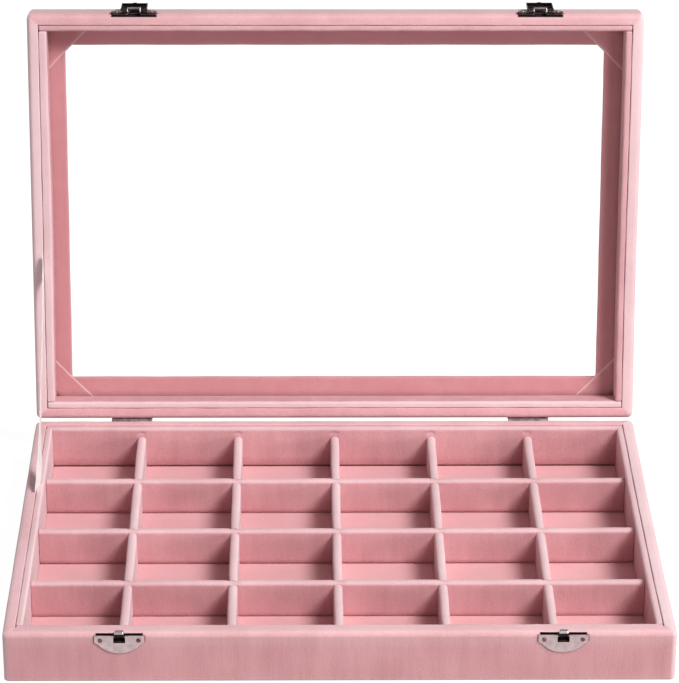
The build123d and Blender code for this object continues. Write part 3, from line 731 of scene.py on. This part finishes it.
def lid_profile():
    """As the tray's, drawn upside down: inset and height above the mating plane, rim at 0."""
    a = [(6.5, 11.6, "i"), (6.5, 7.0, "i"), (6.5, 4.0, "i"), (6.46, 2.4, "i"), (6.42, 1.5, "i")]
    a += [(x, y, "t") for x, y in arc(5.92, 0.54, 0.5, -10, -84, 6)]
    a += [(5.1, 0.03, "t"), (4.5, 0.0, "t"), (3.9, -0.01, "t"), (3.3, 0.0, "t")]
    a += [(x, y, "r") for x, y in arc(2.75, 2.78, 2.75, 270, 180, 13)]
    for z in (3.4, 4.4, 5.6, 7.0, 8.6, 10.4, 12.2, 13.8, 15.2):
        a.append((0.0, z, "o"))
    a += [(x, y, "c") for x, y in arc(1.75, 16.23, 1.75, 180, 90, 8)]
    for d in (2.6, 4.0, 6.0, 9.0, 12.5, 16.0, 18.5, 19.6):
        a.append((d, 18.0 - 0.04 * math.sin(math.pi * (d - 2) / 18.5), "c"))
    a += [(x, y, "w") for x, y in arc(20.05, 17.1, 0.9, 80, 0, 6)]
    a += [(x, y, "w") for x, y in arc(20.25, 16.4, 0.7, 0, -90, 5)]
    for d in (19.2, 17.5, 15.0, 12.0, 9.0, 6.9):
        a.append((d, 15.70, "l"))
    b = [(6.9, 16.2, "b"), (12.0, 16.2, "b"), (19.4, 16.2, "b"), (20.3, 16.45, "b"), (20.35, 17.05, "b"), (19.4, 17.48, "b"),
         (12.0, 17.44, "b"), (4.0, 17.44, "b"), (1.9, 17.4, "b"), (1.05, 16.9, "b"), (0.83, 16.0, "b"), (0.83, 10.0, "b"),
         (0.83, 3.4, "b"), (1.1, 1.9, "b"), (1.9, 1.05, "b"), (2.9, 0.82, "b"), (4.6, 0.82, "b"), (5.45, 1.1, "b"), (5.8, 1.8, "b"),
         (5.8, 6.0, "b"), (5.8, 11.6, "b")]
    return a + b


def lid_shape(P, prof, mitre):
    s = along(P)
    w1, w2, w3 = wob(s, 5.0), wob(s, 6.0), wob(s, 7.0, ((67.0, 1.0), (21.0, 0.4)))
    x, y = P[:, :, 0].copy(), P[:, :, 1].copy()
    for j, (d, z, tag) in enumerate(prof):
        if tag == "b":
            continue
        P[:, j, 2] += 0.10 * w1 * (1 - smooth(z, 0.0, 2.2))
        if tag in ("t", "i"):
            push = 0.10 * w2 * smooth(d, 4.0, 6.3)
            P[:, j, 0] -= push * np.sign(x[:, j]) * (np.abs(x[:, j]) > HX - 7)
            P[:, j, 1] -= push * np.sign(y[:, j]) * (np.abs(y[:, j]) > HY - 7)
        if tag == "w":
            push = 0.08 * w3
            P[:, j, 0] -= push * np.sign(x[:, j]) * (np.abs(x[:, j]) > HX - 22)
            P[:, j, 1] -= push * np.sign(y[:, j]) * (np.abs(y[:, j]) > HY - 22)
    rows = [(j, 1.0) for j, (d, z, t) in enumerate(prof) if t in ("r", "t") and z < 1.2]
    rows += [(j, 0.4) for j, (d, z, t) in enumerate(prof) if t == "r" and 1.2 <= z < 2.0]
    mitre_fold(P, mitre, rows, 0.15, -1)
    rows = [(j, 1.0) for j, (d, z, t) in enumerate(prof) if t == "c" and 1.2 < d < 19.0]
    mitre_fold(P, mitre, rows, 0.08, 1)


P = ring_wrap(lid_profile(), [(0.0, 3.0), (WALL, 0.35), (20.95, 0.8)], xs, ys, lid_shape)
P[:, :, 2] += MATE
v, f = loft(P, close_u=True)
P_nap = P.copy()
P_nap[:, :, 2] -= MATE
lid_velvet = build("lid_velvet", v, f, velvet_lid, "lid", "velvet", lid=True, replaces=["lid_velvet_wrap"],
                   nap=rim_nap_and_painted_light(P_nap, lid_profile(), True, (0.24, 0.58, 0.13, 0.62)),
                   deep=np.tile([{"l": 0.9, "w": 0.7}.get(t, 0.0) for _, _, t in lid_profile()], (len(P), 1)))
cut_from(lid_velvet, [((cx - 12.6, -121.0, MATE - 1), (cx + 12.6, -118.25, MATE + 1.5)) for cx in PLATES]
         + [((cx - 3.3, -121.0, MATE + 1.4), (cx + 3.3, -117.0, PIN_Z + 1.2)) for cx in PLATES],
         [(moon(cx, 25.7, MATE + 0.7, MATE + 4.9, MATE + 6.5, MATE + 11.4, 0.40), -121.0, -119.35) for cx in PLATES])


# ---------------------------------------------------------------- liners
def liner_section(z0, z1, inset=0.0, outer_r=0.6, inner_r=1.55, t=3.6, seam=SEAM, under=None):
    """(distance in from the outer face, height) round a covered card, rim edge up; under is the height of an undercut foot."""
    i = inset
    pts = [(seam + i, z0), (seam + i, z0 + (z1 - z0) * 0.5), (seam + i, z1 - 4.0 - i), (seam + i, z1 - 1.6 - i)]
    ro, ri = max(0.1, outer_r - i * 0.3), max(0.2, inner_r - i * 0.3)
    pts += arc(seam + i + ro, z1 - i - ro, ro, 180, 90, 5)
    pts += arc(t - i - ri, z1 - i - ri, ri, 88, 0, 9)
    for h in (2.2, 2.7, 3.2, 3.7, 4.3, 5.2, 6.5, 9.0, 13.0, 18.0):
        if z1 - h > z0 + 1.2:
            pts.append((t - i, z1 - h))
    if under is None:
        pts += [(t - i, z0 + 0.8), (t - i - 0.25, z0)]
    else:
        pts += [(t - i, under + 0.25), (t - i - 0.2, under), (t - i - 0.8, under - 0.1), (t - i - 0.8, z0)]
    return pts


def top_nap_and_painted_light(R, z1, level, mirror=None):
    """Paler colour on the liner's top, partly pile and partly painted sheen and light."""
    h = (mirror - R[:, :, 2]) if mirror is not None else R[:, :, 2]
    return level * smooth(h, z1 - 2.6, z1 - 0.5)


def liner_bar(u, z0, z1, side, axis, ends=0.9, shape=None, mirror=None, t=3.6, **kw):
    """Bar along X (axis 'x', side is the sign of Y) or along Y. u are stations."""
    rings = []
    for k, uu in enumerate(u):
        e = min(uu - u[0], u[-1] - uu)
        ins = 0.0
        if e < ends:
            ins = (ends - math.sqrt(max(0.0, ends ** 2 - (ends - e) ** 2))) * 0.8
        sec = np.array(liner_section(z0, z1, ins, t=t, **kw))
        off, h = sec[:, 0], sec[:, 1]
        out = LOY if axis == "x" else LOX
        w = side * (out - off)
        if axis == "x":
            ring = np.stack([np.full_like(off, uu), w, h], -1)
        else:
            ring = np.stack([w, np.full_like(off, uu), h], -1)
        rings.append(ring)
    R = np.array(rings)
    if shape is not None:
        shape(R, u, off=np.array([liner_section(z0, z1, t=t, **kw)])[0])
    if mirror is not None:
        R[:, :, 2] = mirror - R[:, :, 2]
    return R


def uneven(axis, side, seed, z1, amount=0.10, dimples=()):
    def shape(R, u, off):
        w = wob(u, seed)
        w2 = wob(u, seed + 0.5, ((31.0, 1.0), (9.0, 0.5)))
        k = 1 if axis == "x" else 0
        for j in range(R.shape[1]):
            d, h = off[j]
            top = smooth(h, z1 - 2.0, z1)
            R[:, j, 2] += amount * w * top
            if h > z1 - 6:
                R[:, j, k] -= side * amount * 0.8 * w2 * smooth(h, z1 - 6, z1 - 1.0) * (1 if d > 1.8 else 0.6)
            if d > 1.8:
                for c, hz, r, dep in dimples:
                    g = dep * np.exp(-((u - c) / r) ** 2 - ((h - hz) / (r * 0.8)) ** 2)
                    R[:, j, k] += side * g
    return shape


end_fine = [(-LOX, 2.2, 0.25), (LOX, 2.2, 0.25)]
div_fine = [(c, 4.5, 0.5) for c in COLS]
# the front-to-back dividers are tucked into the long liners, which pucker over their ends
pucker = []
for c in COLS:
    pucker += [(c - 1.25, 25.3, 0.85, 0.55), (c + 1.25, 25.25, 0.85, 0.55), (c, 26.1, 0.9, 0.42), (c, 24.4, 2.1, 0.25)]
u = spaced(-LOX, LOX, 5.0, end_fine + div_fine)
for name, side, seed in (("front", -1, 11.0), ("back", 1, 12.0)):
    R = liner_bar(u, LINER_Z0, LINER_Z1, side, "x", shape=uneven("x", side, seed, LINER_Z1, dimples=pucker),
                  under=FLOOR + 0.42 if name == "back" else None)
    build(f"tray_lining_{name}", *loft(R), velvet_in, "tray", "velvet_card", replaces=[f"tray_liner_{name}"],
          nap=top_nap_and_painted_light(R, LINER_Z1, 0.35))
row_fine = [(c, 4.5, 0.5) for c in ROWS] + [(-LIY, 2.2, 0.25), (LIY, 2.2, 0.25)]
pucker_y = [(c, 25.2, 1.3, 0.22) for c in ROWS]
u = spaced(-LIY, LIY, 5.0, row_fine)
for name, side, seed in (("left", -1, 13.0), ("right", 1, 14.0)):
    left = name == "left"
    R = liner_bar(u, LINER_Z0, LINER_Z1, side, "y", shape=uneven("y", side, seed, LINER_Z1, dimples=pucker_y),
                  seam=0.03 if left else SEAM, outer_r=0.28 if left else 0.5)
    nap = top_nap_and_painted_light(R, LINER_Z1, 0.50)
    # the left liner's right-facing inner face is painted pale: painted key light
    if left:
        nap = np.maximum(nap, 0.70 * smooth(R[:, :, 0] + LOX, 1.6, 3.2))
    build(f"tray_lining_{name}", *loft(R), velvet_in, "tray", "velvet_card", replaces=[f"tray_liner_{name}"], nap=nap)

# lid liners: same make, 13 mm high, held against the glass
LID_L0, LID_L1 = 0.0, 12.98
u = spaced(-LOX, LOX, 5.0, end_fine)
# lid liner tops are painted pale by side, most on the lit sides: painted light
for name, side, seed in (("front", -1, 21.0), ("back", 1, 22.0)):
    R = liner_bar(u, LID_L0, LID_L1, side, "x", shape=uneven("x", side, seed, LID_L1, 0.13), mirror=43.08, outer_r=0.34)
    build(f"lid_lining_{name}", *loft(R), velvet_in, "lid", "velvet_card", lid=True, replaces=[f"lid_liner_{name}"],
          nap=top_nap_and_painted_light(R, LID_L1, 0.16 if name == "front" else 0.55, 43.08))
u = spaced(-LIY, LIY, 5.0, [(-LIY, 2.2, 0.25), (LIY, 2.2, 0.25)])
for name, side, seed in (("left", -1, 23.0), ("right", 1, 24.0)):
    R = liner_bar(u, LID_L0, LID_L1, side, "y", shape=uneven("y", side, seed, LID_L1, 0.13), mirror=43.08,
                  t=4.5 if name == "left" else 3.8, outer_r=0.34)
    if name == "left":
        # this liner swells inward along its middle
        swell = 0.75 * np.exp(-(((u - 0.0) / 62.0) ** 2))
        for j in range(R.shape[1]):
            inner = smooth(R[:, j, 0] + LOX, 1.6, 4.0)
            R[:, j, 0] += swell * inner
    build(f"lid_lining_{name}", *loft(R), velvet_in, "lid", "velvet_card", lid=True, replaces=[f"lid_liner_{name}"],
          nap=top_nap_and_painted_light(R, LID_L1, 0.50 if name == "left" else 0.10, 43.08))


# ---------------------------------------------------------------- padded floor
def cell_stations(edges):
    """Stations across cells, close together beside each wall; edges are (lo, hi) of each cell."""
    near = [0.0, 0.15, 0.35, 0.6, 0.9, 1.3, 1.9, 2.8, 4.5, 8.0, 13.0]
    pts = []
    for lo, hi in edges:
        half = (hi - lo) / 2
        pts += [lo + n for n in near if n < half - 1] + [(lo + hi) / 2] + [hi - n for n in reversed(near) if n < half - 1]
    return np.array(pts)


xe = [-LIX] + [v for c in COLS for v in (c - DIV_H, c + DIV_H)] + [LIX]
ye = [-LIY] + [v for c in ROWS for v in (c - DIV_H, c + DIV_H)] + [LIY]
xcells = [(xe[i], xe[i + 1]) for i in range(0, len(xe), 2)]
ycells = [(ye[i], ye[i + 1]) for i in range(0, len(ye), 2)]
gx, gy = cell_stations(xcells), cell_stations(ycells)


def edge_drop(t, cells):
    """Distance to the nearer wall, and to the far (hi) wall alone; -1 under a wall."""
    d, far = np.full_like(t, -1.0), np.full_like(t, -1.0)
    for lo, hi in cells:
        within = (t >= lo - 1e-6) & (t <= hi + 1e-6)
        d = np.where(within, np.minimum(t - lo, hi - t), d)
        far = np.where(within, hi - t, far)
    return d, far


(dx, _), (dy, dfar) = edge_drop(gx, xcells), edge_drop(gy, ycells)
DX, DY = np.meshgrid(dx, dy, indexing="ij")
GX, GY = np.meshgrid(gx, gy, indexing="ij")
near = np.minimum(np.maximum(DX, 0), np.maximum(DY, 0))
DFAR = np.meshgrid(dx, dfar, indexing="ij")[1]
rear_depth = np.where(GY > -20, 0.50, 0.25)
drop = np.maximum(0.22 * (1 - np.clip(near / 0.95, 0, 1) ** 0.45),
                  rear_depth * (1 - np.clip(np.maximum(DFAR, 0) / 0.8, 0, 1) ** 0.45))
pillow = 0.10 * np.tanh(np.maximum(DX, 0) / 7) * np.tanh(np.maximum(DY, 0) / 7)
Z = FLOOR - 0.06 - drop + pillow + 0.035 * wob(GX * 0.9 + GY * 0.3, 31.0) * np.tanh(near / 3)
nx_, ny_ = len(gx), len(gy)
top = np.stack([GX, GY, Z], -1).reshape(-1, 3)
low = np.stack([GX, GY, np.full_like(GX, 3.02)], -1).reshape(-1, 3)
verts = np.concatenate([top, low])
faces = []
N = nx_ * ny_
for i in range(nx_ - 1):
    for j in range(ny_ - 1):
        a, b, c, d = i * ny_ + j, (i + 1) * ny_ + j, (i + 1) * ny_ + j + 1, i * ny_ + j + 1
        faces.append((a, b, c, d))
        faces.append((N + a, N + d, N + c, N + b))
for i in range(nx_ - 1):
    a, b = i * ny_, (i + 1) * ny_
    faces.append((a, N + a, N + b, b))
    a, b = i * ny_ + ny_ - 1, (i + 1) * ny_ + ny_ - 1
    faces.append((a, b, N + b, N + a))
for j in range(ny_ - 1):
    a, b = j, j + 1
    faces.append((a, b, N + b, N + a))
    a, b = (nx_ - 1) * ny_ + j, (nx_ - 1) * ny_ + j + 1
    faces.append((a, N + a, N + b, b))
floor_pad = build("tray_floor_velvet", verts, faces, velvet_floor, "tray", "velvet_card", replaces=["tray_floor_pad"])


# ---------------------------------------------------------------- dividers
def divider(name, along_axis, at, half_len, crossings, seed, node, notch_low):
    near_pts = [(c, 5.0, 0.5) for c in crossings] + [(-half_len, 1.6, 0.25), (half_len, 1.6, 0.25)]
    u = spaced(-half_len, half_len, 5.0, near_pts)
    z0 = FLOOR - 0.8
    top_z, gap = (DIV_TOP, 0.0) if notch_low else (CROSS_TOP, FOOT_GAP[crossings_at.index(at)])
    rings = []
    for uu in u:
        e = min(uu + half_len, half_len - uu)
        ins = (0.7 - math.sqrt(max(0.0, 0.49 - (0.7 - e) ** 2))) if e < 0.7 else 0.0
        h = DIV_H - ins * 0.7
        ztop = top_z - ins
        w = float(wob(uu, seed)) * 0.10
        zw = float(wob(uu, seed + 0.3)) * 0.10
        if not notch_low:
            # the covering pulls down a little beside each crossing
            for c in crossings:
                zw -= 0.42 * math.exp(-((uu - c) / 2.7) ** 2) + 0.10 * math.exp(-((abs(uu - c) - DIV_H) / 0.8) ** 2)
                h -= 0.08 * math.exp(-((abs(uu - c) - DIV_H) / 0.8) ** 2)
        else:
            for c in crossings:
                zw -= 0.10 * math.exp(-((abs(uu - c) - DIV_H) / 1.6) ** 2)
        r = min(2.28 if notch_low else 1.95, h - 0.02)
        foot = [(-h + 0.05, z0), (-h + 0.02, z0 + 0.35), (-h, z0 + 0.9), (-h, z0 + 3.5)]
        if gap > 0:
            foot = [(-h + 0.8, z0), (-h + 0.8, FLOOR + gap - 0.1), (-h + 0.2, FLOOR + gap), (-h, FLOOR + gap + 0.25), (-h, z0 + 3.5)]
        sec = foot + [(-h, 10.0), (-h, 14.0), (-h, 18.0), (-h, ztop + zw - r - 0.8)]
        sec += arc(-h + r, ztop + zw - r, r, 180, 92, 9)
        sec += arc(h - r, ztop + zw - r, r, 88, 0, 9)
        sec += [(h, ztop + zw - r - 0.8), (h, 18.0), (h, 14.0), (h, 10.0), (h, z0 + 3.5), (h, z0 + 0.9), (h - 0.02, z0 + 0.35), (h - 0.05, z0)]
        sec = np.array(sec)
        s = sec[:, 0] + w * smooth(sec[:, 1], 8, 20)
        if along_axis == "y":
            rings.append(np.stack([at + s, np.full_like(s, uu), sec[:, 1]], -1))
        else:
            rings.append(np.stack([np.full_like(s, uu), at + s, sec[:, 1]], -1))
    R = np.array(rings)
    # pale tops: partly pile, partly painted sheen
    level = 0.55 if along_axis == "y" else 0.38
    nap = level * smooth(R[:, :, 2], top_z - 2.0, top_z - 0.5)
    if along_axis == "y":
        # the right-hand faces are painted pale: painted key light
        nap = np.maximum(nap, 0.80 * smooth(R[:, :, 0] - at, 0.8, 2.0))
    o = build(name, *loft(R), velvet_in, "tray", "velvet_card", nap=nap)
    # half-lap slots; the crossing board's covering passes over the long board
    mid = (FLOOR + DIV_TOP) / 2
    slots = [(0.0, mid + 0.03), (22.60, 40.0)] if notch_low else [(mid, 22.63)]
    cv, cf = [], []
    g = DIV_H + 0.03
    for c, (a, b) in [(c, ab) for c in crossings for ab in slots]:
        lo = (at - 6, c - g, a) if along_axis == "y" else (c - g, at - 6, a)
        hi = (at + 6, c + g, b) if along_axis == "y" else (c + g, at + 6, b)
        k = len(cv)
        cv += [(x, y, z) for x in (lo[0], hi[0]) for y in (lo[1], hi[1]) for z in (lo[2], hi[2])]
        cf += [tuple(k + q for q in face) for face in ((0, 1, 3, 2), (4, 6, 7, 5), (0, 4, 5, 1), (2, 3, 7, 6), (0, 2, 6, 4), (1, 5, 7, 3))]
    cut = build(name + "_slots", cv, cf, velvet_in, None)
    mod = o.modifiers.new("slots", "BOOLEAN")
    mod.operation, mod.solver, mod.object = "DIFFERENCE", "EXACT", cut
    dg = bpy.context.evaluated_depsgraph_get()
    me = bpy.data.meshes.new_from_object(o.evaluated_get(dg))
    o.modifiers.clear()
    o.data = me
    bpy.data.objects.remove(cut)
    for p in me.polygons:
        p.use_smooth = True
    me.set_sharp_from_angle(angle=math.radians(50))
    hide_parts(node)
    return o


CROSS_TOP = 24.45
crossings_at, FOOT_GAP = ROWS, (0.10, 0.30, 0.42)
for k, x in enumerate(COLS):
    divider(f"divider_front_back_{k + 1}", "y", x, LIY - 0.02, ROWS, 41.0 + k, f"divider_long_{k + 1}", True)
for k, y in enumerate(ROWS):
    divider(f"divider_left_right_{k + 1}", "x", y, LIX - 0.02, COLS, 51.0 + k, f"divider_cross_{k + 1}", False)

# ---------------------------------------------------------------- corner patches on the lip
# lighter velvet on the turned hem of the patches: partly pressed pile, partly a painted highlight along the fold
velvet_hem_pale_and_highlight = velvet("velvet_turned_edge", (0.74, 0.40, 0.42), (0.83, 0.50, 0.52), (0.90, 0.58, 0.60), sheen=0.5, contrast=0.6)
pv, pf = [], []
for sx in (-1, 1):
    for sy in (-1, 1):
        leg = 25.4 if sy < 0 else 22.0
        cx, cy = LIX + 2.0, LIY + 2.0
        n = 15
        reach = leg + 4.0
        base = len(pv)
        # strips parallel to the hypotenuse; the outermost is the turned edge
        offs = [0.0, 0.22, 0.5, 0.9, 2.5, 6.0, 12.0, reach / math.sqrt(2) - 0.3]
        hts = [0.13, 0.26, 0.27, 0.20, 0.17, 0.16, 0.16, 0.16]
        rows = []
        for o_, h_ in zip(offs, hts):
            L = reach - o_ * math.sqrt(2)
            row = []
            for q in range(n):
                t = q / (n - 1)
                bow = 0.16 * math.sin(math.pi * t) * float(wob(t * 20 + sx * 3 + sy * 7, 61.0)) if o_ < 1 else 0
                xx, yy = cx - L * t + bow * 0.7, cy - L * (1 - t) + bow * 0.7
                row.append((sx * xx, sy * yy, LIP_IN - 0.02 - h_))
            rows.append(row)
        top_rows = rows
        bot_rows = [[(p[0], p[1], LIP_IN - 0.015) for p in r] for r in rows]
        grid = top_rows + bot_rows[::-1]
        m = len(grid)
        for r in grid:
            pv += r
        for i in range(m):
            k = (i + 1) % m
            for q in range(n - 1):
                pf.append((base + i * n + q, base + k * n + q, base + k * n + q + 1, base + i * n + q + 1))
        pf.append(tuple(base + i * n for i in range(m)))
        pf.append(tuple(base + i * n + n - 1 for i in reversed(range(m))))
patch = build("lid_corner_velvet", pv, pf, [velvet_lid, velvet_hem_pale_and_highlight], "lid", "velvet", lid=True, replaces=["lid_corner_patches"],
              deep=np.tile(np.repeat([0.0, 0.0, 0.0, 0.0, 0.85, 0.85, 0.85, 0.85, 0.85, 0.85, 0.85, 0.85, 0.85, 0.85, 0.85, 0.85], 15), 4))
per = len(patch.data.polygons) // 4
for q in range(4):
    for i in range(14 * 3):
        patch.data.polygons[q * per + i].material_index = 1

# ---------------------------------------------------------------- felt under the tray
xs0, ys0 = spaced(-171.8, 171.8, 12.0) / 171.8, spaced(-116.8, 116.8, 12.0) / 116.8
rings = []
for ins, z in ((0.95, 0.5), (0.87, 0.42), (0.85, 0.25), (0.95, 0.08), (1.3, 0.0)):
    bnd = boundary(ins, 2.4, xs0, ys0, 7)
    rings.append(np.concatenate([bnd, np.full((len(bnd), 1), z)], 1))
v, f = loft(np.array(rings))
build("tray_underside_felt", v, f, felt_m, "tray", "felt", replaces=["tray_underside_cover"], flat_over=60)

# ---------------------------------------------------------------- ribbon lid stay
A = np.array([-168.375, 36.0, 29.55])
B = np.array([-168.375, 138.216, 120.928])
axis = (B - A) / np.linalg.norm(B - A)
across = np.array([0.0, -axis[2], axis[1]])
length = np.linalg.norm(B - A)
T = np.linspace(-0.022, 1.022, 90)
# bow towards the inside and twist, by share of the way from tray to lid
bow_t = [-0.03, 0.0, 0.06, 0.14, 0.28, 0.45, 0.62, 0.78, 0.90, 1.0, 1.03]
bow_x = [0.0, 0.35, 1.55, 1.75, 1.25, 0.95, 0.80, 0.75, 0.50, 0.08, 0.0]
tw_deg = [0.0, -2.0, -11.5, -9.0, -1.0, 1.6, 1.6, 1.0, -1.0, 0.0, 0.0]
sag_mm = [0.0, 0.0, 0.3, 0.9, 1.9, 2.5, 2.2, 1.3, 0.5, 0.0, 0.0]
W, H = 5.0, 0.11
sec = [(-W, -H * 0.6), (-W, H * 0.6), (-W + 0.25, H), (-W / 2, H), (0, H), (W / 2, H), (W - 0.25, H), (W, H * 0.6),
       (W, -H * 0.6), (W - 0.25, -H), (W / 2, -H), (0, -H), (-W / 2, -H), (-W + 0.25, -H)]
rings = []
for t in T:
    c = A + axis * length * t
    c = c + np.array([np.interp(t, bow_t, bow_x), 0, 0]) - across * np.interp(t, bow_t, sag_mm)
    tw = math.radians(np.interp(t, bow_t, tw_deg))
    wdir = across * math.cos(tw) + np.array([1.0, 0, 0]) * math.sin(tw)
    ndir = np.cross(axis, wdir)
    ripple = 0.06 * math.sin(t * 60)
    rings.append([c + wdir * a * (1 - 0.03 * math.sin(t * 9) ** 2) + ndir * (b + ripple * (a / W) ** 2) for a, b in sec])
v, f = loft(np.array(rings))
ribbon = build("ribbon_lid_stay", v, f, satin_w, None, "satin")
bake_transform(ribbon)
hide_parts("lid_stay_ribbon")

# ---------------------------------------------------------------- metal edges
for n, o in nodes.items():
    if n.startswith(("strike_plate", "latch_plate", "latch_lever", "hinge_tray_leaf", "hinge_lid_leaf")) and "nails" not in n:
        b = o.modifiers.new("edges", "BEVEL")
        b.width, b.segments, b.limit_method, b.angle_limit = 0.00011, 2, "ANGLE", math.radians(40)
        b.use_clamp_overlap = True

# ---------------------------------------------------------------- stage, light, camera
me = bpy.data.meshes.new("floor_plane")
me.from_pydata([(-9, -7, -0.0002), (9, -7, -0.0002), (9, 11, -0.0002), (-9, 11, -0.0002)], [], [(0, 1, 2, 3)])
ground = bpy.data.objects.new("floor_plane", me)
bpy.context.scene.collection.objects.link(ground)
m, nt, p, _ = nt_new("plain_floor")
p.inputs["Base Color"].default_value = (0.22, 0.22, 0.22, 1)
p.inputs["Emission Color"].default_value = (1.0, 1.0, 1.0, 1)
p.inputs["Emission Strength"].default_value = 0.93
p.inputs["Roughness"].default_value = 0.9
p.inputs["Specular IOR Level"].default_value = 0.0
me.materials.append(m)
ground.visible_diffuse = False

world = bpy.data.worlds.new("studio")
bpy.context.scene.world = world
world.use_nodes = True
bg = world.node_tree.nodes["Background"]
bg.inputs[0].default_value = (0.95, 0.895, 0.90, 1)
bg.inputs[1].default_value = 0.262


def area(name, pos, target, size, power, color=(1, 1, 1), size_y=None):
    d = bpy.data.lights.new(name, "AREA")
    d.shape = "RECTANGLE"
    d.size, d.size_y = size, size_y or size
    d.energy = power
    d.color = color
    o = bpy.data.objects.new(name, d)
    o.location = pos
    o.rotation_mode = "QUATERNION"
    o.rotation_quaternion = (Vector(target) - Vector(pos)).to_track_quat("-Z", "Y")
    bpy.context.scene.collection.objects.link(o)
    return o


area("key", (1.72, -1.28, 2.40), (0.0, 0.0, 0.06), 1.20, 108)
# light thrown back from the table on to the upright faces
area("bounce_right", (1.10, -1.25, 0.15), (0.0, -0.05, 0.05), 0.80, 6.4, size_y=0.30)
area("bounce_left", (-1.30, -0.60, 0.16), (0.0, 0.0, 0.08), 0.80, 4.0, size_y=0.30)

cam = bpy.data.cameras.new("view")
cam.lens = 166.83
cam.sensor_width = 36.0
cam.sensor_fit = "AUTO"
cam.clip_start, cam.clip_end = 0.05, 60.0
co = bpy.data.objects.new("view", cam)
bpy.context.scene.collection.objects.link(co)
pitch, yaw, roll = math.radians(25.97), math.radians(-0.79), math.radians(0.28)
right = np.array([1.0, 0, 0])
fwd = np.array([0, math.cos(pitch), -math.sin(pitch)])
up = np.array([0, math.sin(pitch), math.cos(pitch)])
r2 = math.cos(roll) * right + math.sin(roll) * up
u2 = -math.sin(roll) * right + math.cos(roll) * up
cy_, sy_ = math.cos(yaw), math.sin(yaw)
Rz = np.array([[cy_, -sy_, 0], [sy_, cy_, 0], [0, 0, 1.0]])
r2, fwd, u2 = Rz @ r2, Rz @ fwd, Rz @ u2
M = Matrix(((r2[0], u2[0], -fwd[0], -0.02003), (r2[1], u2[1], -fwd[1], -1.524955), (r2[2], u2[2], -fwd[2], 0.881224), (0, 0, 0, 1)))
co.matrix_world = M
bpy.context.scene.camera = co
bpy.context.scene.view_settings.view_transform = "Standard"
bpy.context.scene.view_settings.look = "None"
